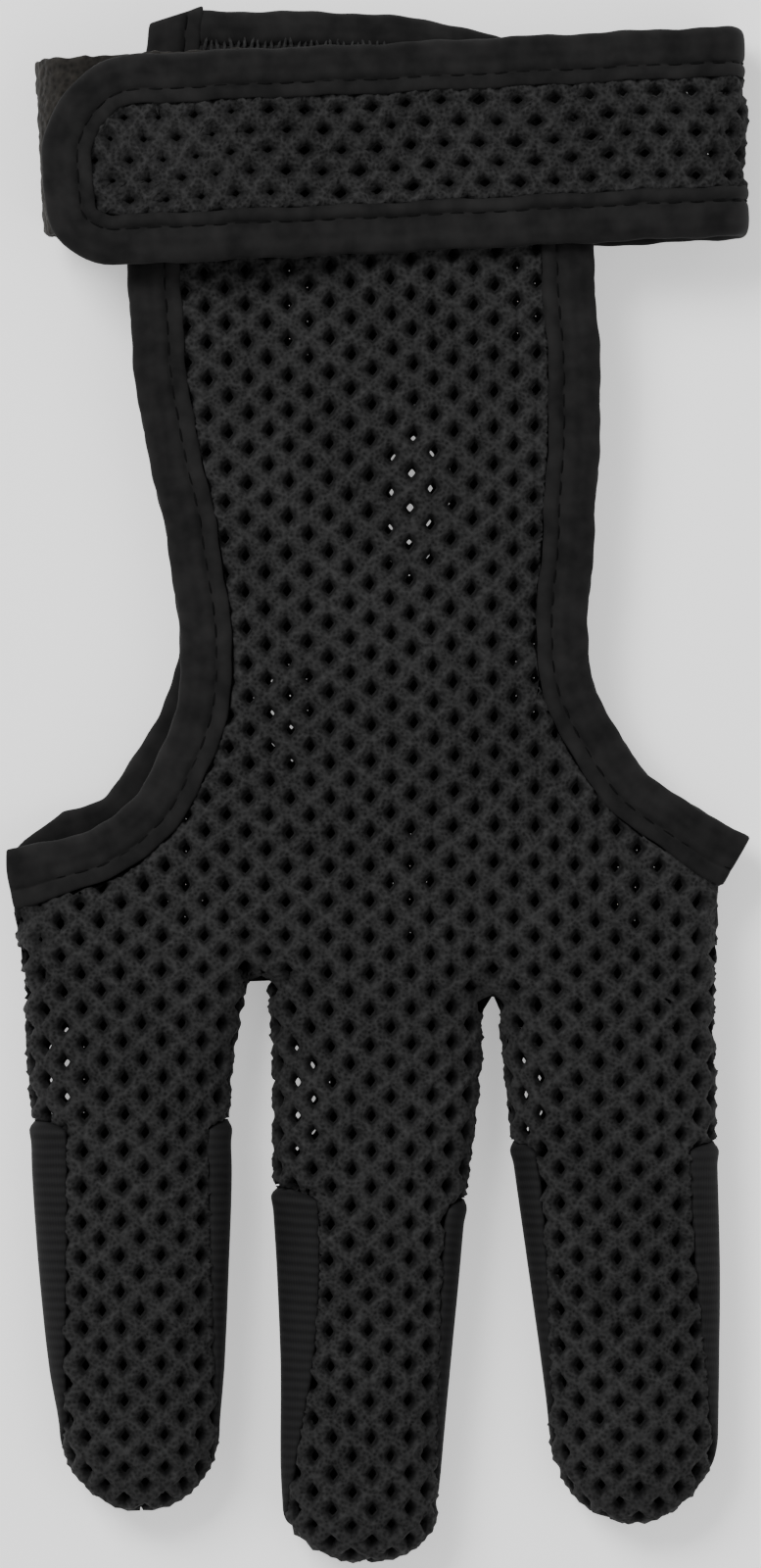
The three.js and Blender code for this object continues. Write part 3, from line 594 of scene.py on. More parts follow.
class Cloth:
    """A sheet of cloth in space, with the place that each of its points has on the flat cut.

    Points of the flat cut are laid onto the sheet, and points past its edge come to lie on
    the edge.
    """

    def __init__(self, flat: np.ndarray, places: np.ndarray, triangles: np.ndarray) -> None:
        """Keeps the sheet and finds its outward directions.

        Args:
            flat: Places on the flat cut in millimetres: (points, 2).
            places: The same points in space: (points, 3).
            triangles: Their triangles, with the outer face anticlockwise.
        """
        self.flat = flat
        self.places = places
        self.triangles = triangles
        normals = np.zeros_like(places)
        a, b, c = (places[triangles[:, i]] for i in range(3))
        faces = np.cross(b - a, c - a)
        for i in range(3):
            np.add.at(normals, triangles[:, i], faces)
        lengths = np.linalg.norm(normals, axis=1, keepdims=True)
        self.normals = normals / np.maximum(lengths, 1e-9)
        corners = [Vector((x, y, 0.0)) for x, y in flat]
        self.tree = BVHTree.FromPolygons(corners, triangles.tolist())

    def area(self, first: int = 0) -> float:
        """Returns the area in square millimetres, from a first triangle on."""
        a, b, c = (self.places[self.triangles[first:, i]] for i in range(3))
        return float(np.linalg.norm(np.cross(b - a, c - a), axis=1).sum() / 2)

    @classmethod
    def from_rows(cls, flat: np.ndarray, places: np.ndarray) -> "Cloth":
        """Makes a cloth of rows and columns of points: (rows, columns, 2) and (.., 3)."""
        return cls(flat.reshape(-1, 2), places.reshape(-1, 3), grid_triangles(flat.shape, True))

    def lay(self, flat: np.ndarray, heights: np.ndarray, edge_height: float) -> tuple:
        """Lays points of the flat cut onto the sheet.

        Args:
            flat: Places on the flat cut: (points, 2).
            heights: Height of each point off the outer face.
            edge_height: Height of the points that come to lie on the edge.

        Returns:
            The places in space, and how far past the edge each point was.
        """
        laid = np.zeros((len(flat), 3))
        past = np.zeros(len(flat))
        for i, (x, y) in enumerate(flat):
            found, _, index, distance = self.tree.find_nearest((x, y, 0.0))
            ids = self.triangles[index]
            shares = barycentric(self.flat[ids], np.array(found[:2]))
            height = heights[i] if distance < PAST_EDGE else edge_height
            laid[i] = shares @ self.places[ids] + height * (shares @ self.normals[ids])
            past[i] = distance
        return laid, past


def grid_triangles(shape: tuple, up: bool) -> np.ndarray:
    """Returns the triangles of a grid of points, seen from above where up is true."""
    rows, columns = shape[:2]
    r, c = np.meshgrid(np.arange(rows - 1), np.arange(columns - 1), indexing="ij")
    a = (r * columns + c).ravel()
    b = a + 1
    d = a + columns
    e = d + 1
    if up:
        return np.concatenate([np.stack([a, d, e], 1), np.stack([a, e, b], 1)])
    return np.concatenate([np.stack([a, e, d], 1), np.stack([a, b, e], 1)])


def barycentric(corners: np.ndarray, place: np.ndarray) -> np.ndarray:
    """Returns the shares of a flat triangle's corners in a place on it."""
    (ax, ay), (bx, by), (cx, cy) = corners
    whole = (bx - ax) * (cy - ay) - (cx - ax) * (by - ay)
    if abs(whole) < 1e-12:
        return np.array([1.0, 0.0, 0.0])
    px, py = place
    second = ((px - ax) * (cy - ay) - (cx - ax) * (py - ay)) / whole
    third = ((bx - ax) * (py - ay) - (px - ax) * (by - ay)) / whole
    shares = np.clip([1 - second - third, second, third], 0, 1)
    return shares / shares.sum()


@dataclass(frozen=True)
class NetStitch:
    """One mesh of the air mesh: a hole with the braided strands round it, modelled once.

    Half widths are of the lattice, in millimetres: holes lie at every corner and in every
    middle of a cell that is twice as wide and as long.
    """

    half_across: float = 2.95
    half_along: float = 2.55
    hole_across: float = 1.12
    hole_along: float = 1.42
    wall: float = MESH_WALL
    steps: int = 4
    braid: float = 0.13
    back_opening: float = 0.55
    fuzz: float = 0.07

    def outline(self) -> np.ndarray:
        """Returns the points round the stitch, as shares of its half widths."""
        corners = np.array([[1, 0], [0, 1], [-1, 0], [0, -1]], float)
        return np.array([
            lerp(corners[i], corners[(i + 1) % 4], step / self.steps)
            for i in range(4) for step in range(self.steps)
        ])

    def rings(self) -> tuple[np.ndarray, np.ndarray]:
        """Works out the rings of points, from the crest of the strands to the underside.

        Returns:
            Flat places (rings, points, 2) and heights (rings, points).
        """
        shares = self.outline()
        lattice = shares * [self.half_across, self.half_along]
        round_share = shares / np.linalg.norm(shares, axis=1, keepdims=True)
        hole = (0.62 * shares + 0.38 * round_share * 0.8) * [self.hole_across, self.hole_along]
        part = np.arange(len(shares)) % self.steps / self.steps
        plait = self.braid * np.cos(2 * np.pi * 2 * part)
        crest = plait - 0.06 * (part == 0)
        flats = [
            lattice,
            lerp(lattice, hole, 0.36),
            lerp(lattice, hole, 0.74),
            hole * 1.04,
            hole * 0.88,
            hole * self.back_opening,
            lattice,
        ]
        upper = [crest + 0.02, crest * 0.5 - 0.16, -0.34 - 0.4 * crest]
        lower = [np.full(len(shares), level) for level in (-0.66, -1.0, -self.wall, -self.wall)]
        return np.array(flats), np.array(upper + lower)


@dataclass(frozen=True)
class Web:
    """The edge of the hand between two fingers, where the stitches over it end."""

    cloth: Cloth
    lowest: float
    splits: tuple[float, float]
    reach: float = 5.0

    def holds(self, points: np.ndarray, middle: np.ndarray) -> np.ndarray:
        """Tells which points of a stitch end at this edge."""
        away = np.min([np.abs(points[:, 0] - split) for split in self.splits], axis=0)
        return (away < self.reach) & (middle[1] > self.lowest)


class Net:
    """A net of stitches laid over one or more cloths and joined into one piece.

    Lengths in millimetres: rim_step and weld join vertices of the rim, all round it and in
    the gaps. Openings that reach less far than opening are drawn together, and outside the
    gaps at last those under last_opening. Faces with an edge over longest go from the gaps,
    which are gap_reach wide to each side. Vertices of two stitches nearer than stitches_touch
    are one. stitch_reach, a share of the stitch's half width, is how far past the cloth a
    stitch's middle may lie.
    """

    rim_step = 0.7
    opening = 2.6
    last_opening = 4.5
    longest = 3.3
    gap_reach = 8.0
    weld = 1.7
    stitch_reach = 0.98
    stitches_touch = 0.004

    def __init__(
        self,
        name: str,
        stitch: NetStitch,
        turn: bool = False,
        downwards: bool = False,
        warp: Callable[[np.ndarray], np.ndarray] = lambda flat: flat,
        gaps: Sequence[tuple[float, float]] = (),
    ) -> None:
        """Starts an empty net.

        Args:
            name: The piece's name.
            stitch: The stitch that is repeated.
            turn: Whether the lattice is turned a quarter, as in the strap.
            downwards: Whether the outer face looks down, as in the palm.
            warp: Moves places of the even lattice, as the pull of wearing and sewing does.
            gaps: Places between two fingers, which the net leaves open.
        """
        self.name = name
        self.stitch = stitch
        self.turn = turn
        self.downwards = downwards
        self.warp = warp
        self.gaps = gaps
        self.places: list[np.ndarray] = []
        self.spread: list[np.ndarray] = []
        self.depth: list[np.ndarray] = []
        self.rim: list[np.ndarray] = []

    def add(
        self,
        cloth: Cloth,
        origin: tuple[float, float],
        belongs: Callable[[float, float, int], bool],
        hole_size: Callable[[float, float], float] = lambda x, y: 1.0,
        cloth_at: Callable[[float, float], Cloth] | None = None,
        web: Web | None = None,
    ) -> None:
        """Lays the stitches whose middle belongs to a cloth.

        Args:
            cloth: The sheet that carries them.
            origin: The middle of one hole on the flat cut.
            belongs: Tells from a stitch's middle, and the cloth's triangle there, whether
                it is in this part of the net.
            hole_size: Share of the full hole at a place, or in the palm of its inner opening.
            cloth_at: Names the cloth that carries a point, from its x and the y of its
                stitch's middle, where one stitch can lie on two cloths.
            web: The cloth's edge between two fingers.
        """
        flats, heights = self.stitch.rings()
        rng = np.random.default_rng(11)
        half = np.array([self.stitch.half_across, self.stitch.half_along])
        if self.turn:
            flats = flats[..., ::-1] * [-1, 1]
            half = half[::-1]
        low = cloth.flat.min(axis=0)
        high = cloth.flat.max(axis=0)
        first = np.floor((low - origin) / half).astype(int) - 1
        last = np.ceil((high - origin) / half).astype(int) + 1
        deep = np.clip(-heights.reshape(-1) / self.stitch.wall, 0, 1)
        reach = float(half.max()) * self.stitch_reach
        for i in range(first[0], last[0] + 1):
            for j in range(first[1], last[1] + 1):
                if (i + j) % 2:
                    continue
                even = np.array([origin[0] + i * half[0], origin[1] + j * half[1]])
                middle = self.warp(even)
                _, _, index, distance = cloth.tree.find_nearest((middle[0], middle[1], 0.0))
                if distance > reach or not belongs(middle[0], middle[1], index):
                    continue
                rough = heights.copy()
                rough[1:4] += rng.normal(0, self.stitch.fuzz, rough[1:4].shape)
                shown = hole_size(*middle)
                shape = flats.copy()
                if self.downwards:
                    shape[5] = shape[5] * shown
                else:
                    shape[2] = lerp(shape[0], shape[2], 0.5 + 0.5 * shown)
                    shape[3:6] = shape[3:6] * shown
                points = self.warp((shape + even).reshape(-1, 2))
                laid, past = self.lay_points(cloth, points, rough.reshape(-1), middle, cloth_at, web)
                self.places.append(laid)
                self.rim.append(past > PAST_EDGE)
                self.spread.append(points)
                self.depth.append(deep)

    def lay_points(
        self,
        cloth: Cloth,
        points: np.ndarray,
        heights: np.ndarray,
        middle: np.ndarray,
        cloth_at: Callable[[float, float], Cloth] | None,
        web: Web | None,
    ) -> tuple[np.ndarray, np.ndarray]:
        """Lays one stitch, each point on the cloth that carries it."""
        edge_height = -self.stitch.wall / 2
        if cloth_at is None:
            return cloth.lay(points, heights, edge_height)
        carriers = [cloth_at(x, middle[1]) for x in points[:, 0]]
        laid = np.zeros((len(points), 3))
        past = np.zeros(len(points))
        for carrier in set(carriers):
            mine = np.array([other is carrier for other in carriers])
            laid[mine], past[mine] = carrier.lay(points[mine], heights[mine], edge_height)
        if web is not None:
            loose = (past > PAST_EDGE) & web.holds(points, middle)
            if loose.any():
                laid[loose], past[loose] = web.cloth.lay(points[loose], heights[loose], edge_height)
        return laid, past

    def close_rim(self, piece: bpy.types.Object) -> None:
        """Brings the net's two faces together along its rim, as a seam does."""
        mesh = piece.data
        flags = np.zeros(len(mesh.vertices), np.float32)
        mesh.attributes["rim"].data.foreach_get("value", flags)
        bpy.ops.object.mode_set(mode="EDIT")
        bpy.ops.mesh.select_mode(type="VERT")
        bpy.ops.mesh.select_all(action="DESELECT")
        bpy.ops.object.mode_set(mode="OBJECT")
        mesh.vertices.foreach_set("select", flags > 0.5)
        bpy.ops.object.mode_set(mode="EDIT")
        bpy.ops.mesh.remove_doubles(threshold=self.rim_step * MM)
        bpy.ops.mesh.select_all(action="SELECT")
        bpy.ops.mesh.dissolve_degenerate(threshold=SAME_PLACE)
        for _ in range(2):
            self.select_open(wires=True)
            bpy.ops.mesh.remove_doubles(threshold=self.rim_step * MM)
            self.select_open(wires=False)
            bpy.ops.mesh.fill_holes(sides=0)
        bpy.ops.object.mode_set(mode="OBJECT")
        mesh.attributes.remove(mesh.attributes["rim"])
        self.draw_together(mesh)

    def select_open(self, wires: bool) -> None:
        """Selects the open edges alone, and loose wires with them if that is asked."""
        bpy.ops.mesh.select_all(action="DESELECT")
        bpy.ops.mesh.select_non_manifold(
            use_wire=wires, use_boundary=True, use_multi_face=False,
            use_non_contiguous=False, use_verts=False,
        )

    def draw_together(self, mesh: bpy.types.Mesh) -> None:
        """Closes the rim's last openings and frees the gaps between the fingers."""
        form = bmesh.new()
        form.from_mesh(mesh)
        self.close_openings(form, fill=True)
        stretched = dict.fromkeys(
            face for edge in form.edges if edge.calc_length() > self.longest * MM
            for face in edge.link_faces if self.in_gap(face.calc_center_median())
        )
        bmesh.ops.delete(form, geom=list(stretched), context="FACES")
        loose = [v for v in form.verts if v.is_boundary and self.in_gap(v.co)]
        bmesh.ops.remove_doubles(form, verts=loose, dist=self.weld * MM)
        self.close_openings(form, fill=False)
        form.to_mesh(mesh)
        form.free()

    def in_gap(self, place: Vector) -> bool:
        """Tells whether a place in the frame lies in a gap between two fingers."""
        x, y = place.x / MM - FRAME_SHIFT[0], place.y / MM - FRAME_SHIFT[1]
        return any(math.hypot(x - a, y - b) < self.gap_reach for a, b in self.gaps)

    def close_openings(self, form: bmesh.types.BMesh, fill: bool) -> None:
        """Draws small openings together to a point, and fills others that can be filled.

        Args:
            form: The net.
            fill: Whether the gaps' openings are filled too.
        """
        # The edges are taken in the mesh's order, so that each run gives the same net
        waiting = dict.fromkeys(edge for edge in form.edges if edge.is_boundary)
        while waiting:
            group = [waiting.popitem()[0]]
            for edge in group:
                for vertex in edge.verts:
                    near = [other for other in vertex.link_edges if other in waiting]
                    for other in near:
                        del waiting[other]
                    group += near
            corners = list(dict.fromkeys(vertex for edge in group for vertex in edge.verts))
            middle = sum((vertex.co for vertex in corners), Vector()) / len(corners)
            reach = max((vertex.co - middle).length for vertex in corners)
            gap = self.in_gap(middle)
            if reach < (self.opening if fill or gap else self.last_opening) * MM:
                bmesh.ops.pointmerge(form, verts=corners, merge_co=middle)
            elif fill or not gap:
                bmesh.ops.holes_fill(form, edges=group, sides=0)
            waiting = dict.fromkeys(edge for edge in waiting if edge.is_valid)

    def build(self) -> bpy.types.Object:
        """Joins the stitches into one mesh and returns it."""
        rings, count = self.stitch.rings()[1].shape
        each = rings * count
        ids = np.arange(each).reshape(rings, count)
        after = np.roll(ids, -1, axis=1)
        stitch_faces = np.stack([ids[:-1], after[:-1], after[1:], ids[1:]], axis=-1).reshape(-1, 4)
        if self.downwards:
            stitch_faces = stitch_faces[:, ::-1]
        amount = len(self.places)
        faces = (stitch_faces[None] + (np.arange(amount) * each)[:, None, None]).reshape(-1, 4)
        piece = mesh_piece(self.name, np.concatenate(self.places), faces.tolist())
        mesh = piece.data
        spread_cloth(mesh.uv_layers.new(name="cloth"), mesh, np.concatenate(self.spread))
        # The depth of each point below the strands' crest, kept for the painted shade in the holes
        for name, values in (("hole_shade", self.depth), ("rim", self.rim)):
            kept = mesh.attributes.new(name, "FLOAT", "POINT")
            kept.data.foreach_set("value", np.concatenate(values).astype(np.float32))
        with editing_all():
            bpy.ops.mesh.remove_doubles(threshold=self.stitches_touch * MM)
        self.close_rim(piece)
        bpy.ops.object.shade_smooth()
        log.info("%s: %d stitches", self.name, amount)
        return piece


# The hand: two nets of air mesh and the facings under the fingers


@dataclass
class HandForm:
    """The shape of one layer of the hand, from the wrist to the fingertips."""

    layer: Layer
    cells: int = 14
    hand_rows: int = 60
    knuckle_rows: int = 10
    tuck: float = 1.0
    side_tuck: float = 0.016
    arc_reach: float = 14.0
    hem_step: float = 1.2

    @property
    def columns(self) -> int:
        """Returns the number of cells across the hand."""
        return 3 * self.cells + 2

    def hand_cells(self) -> int:
        """Returns the number of cells over the hand and the knuckles."""
        return self.columns * (self.hand_rows + 1 + self.knuckle_rows)

    def hand_row(self, station: float) -> np.ndarray:
        """Returns a row of points across the hand, reaching a little under the tapes."""
        shares = np.linspace(-self.side_tuck, 1 + self.side_tuck, self.columns + 1)
        return np.array([self.layer.point(station, share) for share in shares])

    def stall_row(self, finger: Finger, along: float) -> tuple[np.ndarray, np.ndarray]:
        """Works out one row of a finger.

        Args:
            finger: The finger.
            along: Share of its length from the root.

        Returns:
            The points in space, and their x on the flat cut.
        """
        left, right = finger.seams(along, self.layer.up * CLEARANCE / 2)
        if self.layer.up < 0:
            left -= 2 * math.pi
        angles = np.linspace(left, right, self.cells + 1)
        row = np.array([finger.point(along, angle) for angle in angles])
        crown = self.layer.up * math.pi / 2
        dense = np.linspace(left, right, 160)
        _, _, half_width, half_height, _ = finger.size(along, 0)
        round_line = np.array([stall_section(half_width, half_height, a) for a in dense])
        order = np.argsort(dense)
        turns, run = dense[order], reach_along(round_line)[order]
        arc = np.interp(angles, turns, run) - np.interp(crown, turns, run)
        middle = finger.middle_line(along) * HAND_HALF_WIDTH
        spread = smooth(along * finger.length / self.arc_reach)
        return row, lerp(row[:, 0], middle + arc, spread)

    def knuckle_row(self, share: float) -> np.ndarray:
        """Returns a row over the knuckles, where the flat hand gives way to the fingers."""
        foot = self.hand_row(1.0)
        roots = np.concatenate([self.stall_row(finger, 0.0)[0] for finger in FINGERS])
        u = np.linspace(-1, 1, self.columns + 1)
        fullness = (1 - np.abs(u) ** 4) ** 0.25
        half_height = GLOVE_HEIGHT / 2
        side_level = half_height + self.layer.up * CLEARANCE / 2
        broad = side_level + self.layer.up * (half_height - CLEARANCE / 2) * fullness
        level = lerp(foot[:, 2], broad, smooth(share * 2.4))
        y = lerp(foot[:, 1], roots[:, 1], share)
        width = smooth(share)
        row = np.empty_like(foot)
        row[:, 0] = lerp(foot[:, 0], roots[:, 0], width)
        row[:, 1] = lerp(y, roots[:, 1], width)
        row[:, 2] = lerp(level, roots[:, 2], share * share)
        return row

    def finger_rows(self, finger: Finger, last: float) -> list[float]:
        """Returns the places of a finger's rows up to a last place along it."""
        hem_step = self.hem_step / finger.length
        rows = list(np.linspace(0.0, finger.hem - 1e-6, 14)[1:])
        if last > finger.hem:
            rows += list(np.linspace(finger.hem + hem_step, finger.round_from, 30))
            turns = np.radians(np.linspace(6, 89.4, 22))
            rows += list(lerp(finger.round_from, 1.0, np.sin(turns)))
            rows += [finger.facing_end - hem_step, finger.facing_end]
        return sorted(row for row in rows if row <= last)

    def cloth(self, finger: Finger, last: float = 1.0) -> Cloth:
        """Joins the hand, the knuckles and one finger into a cloth.

        Args:
            finger: The finger that goes with the hand.
            last: How far along the finger this layer runs.

        Returns:
            The cloth, whose flat places keep x and y over the hand.
        """
        rows = [self.hand_row(0.0) + [0, self.tuck, 0]]
        rows += [self.hand_row(r / self.hand_rows) for r in range(self.hand_rows + 1)]
        rows += [self.knuckle_row(r / self.knuckle_rows) for r in range(1, self.knuckle_rows + 1)]
        hand = np.array(rows)
        triangles = [grid_triangles(hand.shape, self.layer.up > 0)]
        width = self.columns + 1
        start = FINGERS.index(finger) * (self.cells + 1)
        root = (len(rows) - 1) * width + start + np.arange(self.cells + 1)
        places = [hand.reshape(-1, 3)]
        flats = [hand[..., :2].reshape(-1, 2)]
        ids = [root]
        count = hand.shape[0] * width
        middle_y = (finger.root_left_y + finger.root_right_y) / 2
        crown_before = finger.point(0.0, self.layer.up * math.pi / 2)
        run = 0.0
        for along in self.finger_rows(finger, last):
            row, across = self.stall_row(finger, along)
            crown = finger.point(along, self.layer.up * math.pi / 2)
            run += float(np.linalg.norm(crown - crown_before))
            crown_before = crown
            skew = row[:, 1] - crown[1]
            places.append(row)
            flats.append(np.stack([across, middle_y - run + skew], axis=1))
            ids.append(count + np.arange(self.cells + 1))
            count += self.cells + 1
        grid = np.array(ids)
        pattern = grid_triangles(grid.shape, self.layer.up > 0)
        triangles.append(grid.reshape(-1)[pattern])
        return Cloth(np.concatenate(flats), np.concatenate(places), np.concatenate(triangles))


# Places where light comes through both layers: x, y, reach across and reach along
CLEAR_SPOTS = (
    (4.5, 42.0, 6.0, 13.0),
    (-19.0, 2.0, 7.0, 14.0),
    (-12.0, -46.0, 5.0, 9.0),
    (21.0, -46.0, 5.0, 7.0),
    (46.0, -34.0, 5.0, 18.0),
    (-48.0, -34.0, 4.0, 18.0),
)


@dataclass
class HandNets:
    """The two panels of air mesh: the back with the whole fingers, and the palm to the hems."""

    back_stitch: NetStitch = field(default_factory=NetStitch)
    palm_stitch: NetStitch = field(
        default_factory=lambda: NetStitch(
            half_across=2.50, half_along=2.35, hole_across=1.0, hole_along=1.26, braid=0.08
        )
    )
    origin: tuple[float, float] = (4.48, 44.5)
    row_tilt: float = 0.08
    finger_splits: tuple[float, float] = (-17.8, 16.0)
    root_y: float = -27.0
    corner_x: float = 46.0
    corner_y: float = -24.0
    corner_share: float = 0.35
    palm_share: float = 0.12
    finger_reach: float = 0.95

    def finger_of(self, x: float) -> int:
        """Returns which finger a place on the hand lies over."""
        return int(x > self.finger_splits[0]) + int(x > self.finger_splits[1])

    def warp(self, flat: np.ndarray) -> np.ndarray:
        """Tilts the rows over the hand and makes the lattice a little uneven."""
        x = flat[..., 0] - self.origin[0]
        y = flat[..., 1] - self.origin[1]
        tilt = self.row_tilt * smooth((y + 62) / 40)
        sideways = waves(x, y, ((0.22, math.inf, 8.3, 0), (0.16, 4.1, 6.7, 0)))
        lengthways = waves(x, y, ((0.24, 7.1, math.inf, 0), (0.14, -9.0, 5.3, 0)))
        return flat + np.stack([sideways, tilt * x + lengthways], axis=-1)

    def build_net(self, layer: Layer, stitch: NetStitch) -> tuple[bpy.types.Object, float]:
        """Knits one panel and returns it with its area in square metres."""
        area = 0.0
        net = Net(
            f"{layer.name}_net", stitch, downwards=layer.up < 0, warp=self.warp,
            gaps=[(split, self.root_y - 4) for split in self.finger_splits],
        )
        form = HandForm(layer)
        lasts = [1.0 if layer.up > 0 else finger.hem for finger in FINGERS]
        cloths = [form.cloth(finger, last) for finger, last in zip(FINGERS, lasts)]
        web = Web(form.cloth(FINGERS[0], 0.0), self.root_y, self.finger_splits)

        for number, finger in enumerate(FINGERS):
            cloth = cloths[number]
            low, high = self.finger_domain(finger)

            own = 2 * form.hand_cells()
            area += cloth.area(0 if number == 0 else own)

            def belongs(x: float, y: float, index: int, number: int = number) -> bool:
                if self.finger_of(x) == number:
                    return True
                return y < self.root_y and index >= own and low < x < high

            def cloth_at(x: float, middle_y: float, own: Cloth = cloth) -> Cloth:
                return cloths[self.finger_of(x)] if middle_y > self.root_y else own

            net.add(cloth, self.origin, belongs, self.hole_size(layer), cloth_at, web)
        return net.build(), area * MM * MM

    def hole_size(self, layer: Layer) -> Callable[[float, float], float]:
        """Returns the share of the full hole at each place of a layer.

        The palm's inner openings are nearly shut, other than where light comes through both
        layers, and the back's holes are small in the corners that are sewn into the tapes.
        """
        def share(x: float, y: float) -> float:
            if layer.up > 0:
                in_corner = abs(x) > self.corner_x and y > self.corner_y
                return self.corner_share if in_corner else 1.0
            nearest = min(math.hypot((x - a) / c, (y - b) / d) for a, b, c, d in CLEAR_SPOTS)
            return lerp(1.0, self.palm_share, smooth(nearest * 2 - 1.5))
        return share

    def finger_domain(self, finger: Finger) -> tuple[float, float]:
        """Returns how far a finger's stitches may lie to both sides on the flat cut."""
        middle = finger.middle_line(0.3) * HAND_HALF_WIDTH
        return middle - FINGER_WIDTH * self.finger_reach, middle + FINGER_WIDTH * self.finger_reach

    def build(self, finishes: "Finishes") -> None:
        back, area = self.build_net(BACK, self.back_stitch)
        place_piece(back, finishes.air_mesh, ["back_panel"])
        palm, area = self.build_net(PALM, self.palm_stitch)
        place_piece(palm, finishes.palm_mesh, ["palm_panel"])


@dataclass
class FingerFacings:
    """The smooth ribbed cloth that faces the underside of each finger and closes its tip."""

    columns: int = 26
    rows: int = 56
    hem_roll: float = 0.34
    hem_width: float = 3.0
    lap: float = 0.2
    seam_lap: float = 0.4

    def surface(self, finger: Finger) -> tuple[np.ndarray, np.ndarray]:
        """Returns the outer face of one facing in rows and columns, and its flat places."""
        start = finger.hem - self.lap / finger.length
        end = finger.facing_end - 0.0005
        straight = np.linspace(start, finger.round_from, self.rows - 16)
        bend = np.linspace(0, 1, 17)[1:]
        turn_end = math.asin((end - finger.round_from) / (1 - finger.round_from))
        tip = lerp(finger.round_from, 1.0, np.sin(bend * turn_end))
        places, flats = [], []
        run = 0.0
        before = None
        for along in np.concatenate([straight, tip]):
            left, right = finger.seams(along, self.seam_lap)
            angles = np.linspace(left - 2 * math.pi, right, self.columns + 1)
            row = np.array([finger.point(along, angle) for angle in angles])
            middle = finger.point(along, -math.pi / 2)
            if before is not None:
                run += float(np.linalg.norm(middle - before))
            before = middle
            across = reach_along(row)
            roll = self.hem_roll * max(0.0, math.sin(math.pi * clamp(run / self.hem_width)))
            centre = np.array([row[:, 0].mean(), middle[1], GLOVE_HEIGHT / 2])
            outwards = row - centre
            outwards[:, 1] = 0
            lengths = np.linalg.norm(outwards, axis=1, keepdims=True)
            held = np.minimum(row[:, 2:3] / 0.5, 1)
            row = row + outwards / np.maximum(lengths, 0.5) * roll * held
            places.append(row)
            flats.append(np.stack([across - across[-1] / 2, np.full(len(row), -run)], axis=1))
        return np.array(places), np.array(flats)

    def build(self, finishes: "Finishes") -> None:
        for finger in FINGERS:
            places, flats = self.surface(finger)
            name = f"{finger.name}_facing"
            facing = grid_piece(name, places, flats)
            point_outwards_sheet(facing, places)
            thicken(facing, FACING_WALL, outwards=-1.0)
            place_piece(facing, finishes.facing, [f"{finger.name}_finger_facing"])
            width = float(np.ptp(flats[..., 0]))
            length = float(np.ptp(flats[..., 1]))
            area = min(Cloth.from_rows(flats, places).area(), width * length) * MM * MM


def point_outwards_sheet(piece: bpy.types.Object, places: np.ndarray) -> None:
    """Turns a trough's faces away from its middle, so that its wall goes inwards."""
    centre = Vector((places.reshape(-1, 3).mean(axis=0) * MM).tolist())
    centre.z = GLOVE_HEIGHT / 2 * MM
    piece.data.update()
    outward = sum(
        polygon.normal.dot(polygon.center - centre) * polygon.area
        for polygon in piece.data.polygons
    )
    if outward < 0:
        activate(piece)
        with editing_all():
            bpy.ops.mesh.flip_normals()


# Tapes: folded strips sewn over the edges of the mesh


@dataclass
class TapeRun:
    """A line that a tape follows: its inner edge, the way out of the cloth and the way up."""

    inner: np.ndarray
    out: np.ndarray
    up: np.ndarray
    width: float

    def __post_init__(self) -> None:
        """Measures the run along the tape's middle."""
        self.middle = self.inner + self.out * self.width / 2
        self.reach = reach_along(self.middle)

    @property
    def length(self) -> float:
        """Returns the length of the run."""
        return float(self.reach[-1])

    def at(self, run: float) -> tuple[np.ndarray, np.ndarray, np.ndarray, np.ndarray]:
        """Returns the inner edge, out, up and along at a length, also a little past the ends."""
        held = clamp(run, 0.0, self.length)
        inner, out, up = (
            place_along(held, self.reach, line) for line in (self.inner, self.out, self.up)
        )
        near = clamp(held, 0.5, self.length - 0.5)
        before, after = (
            place_along(at, self.reach, self.middle) for at in (near - 0.5, near + 0.5)
        )
        along = unit(after - before)
        return inner + along * (run - held), unit(out), unit(up), along


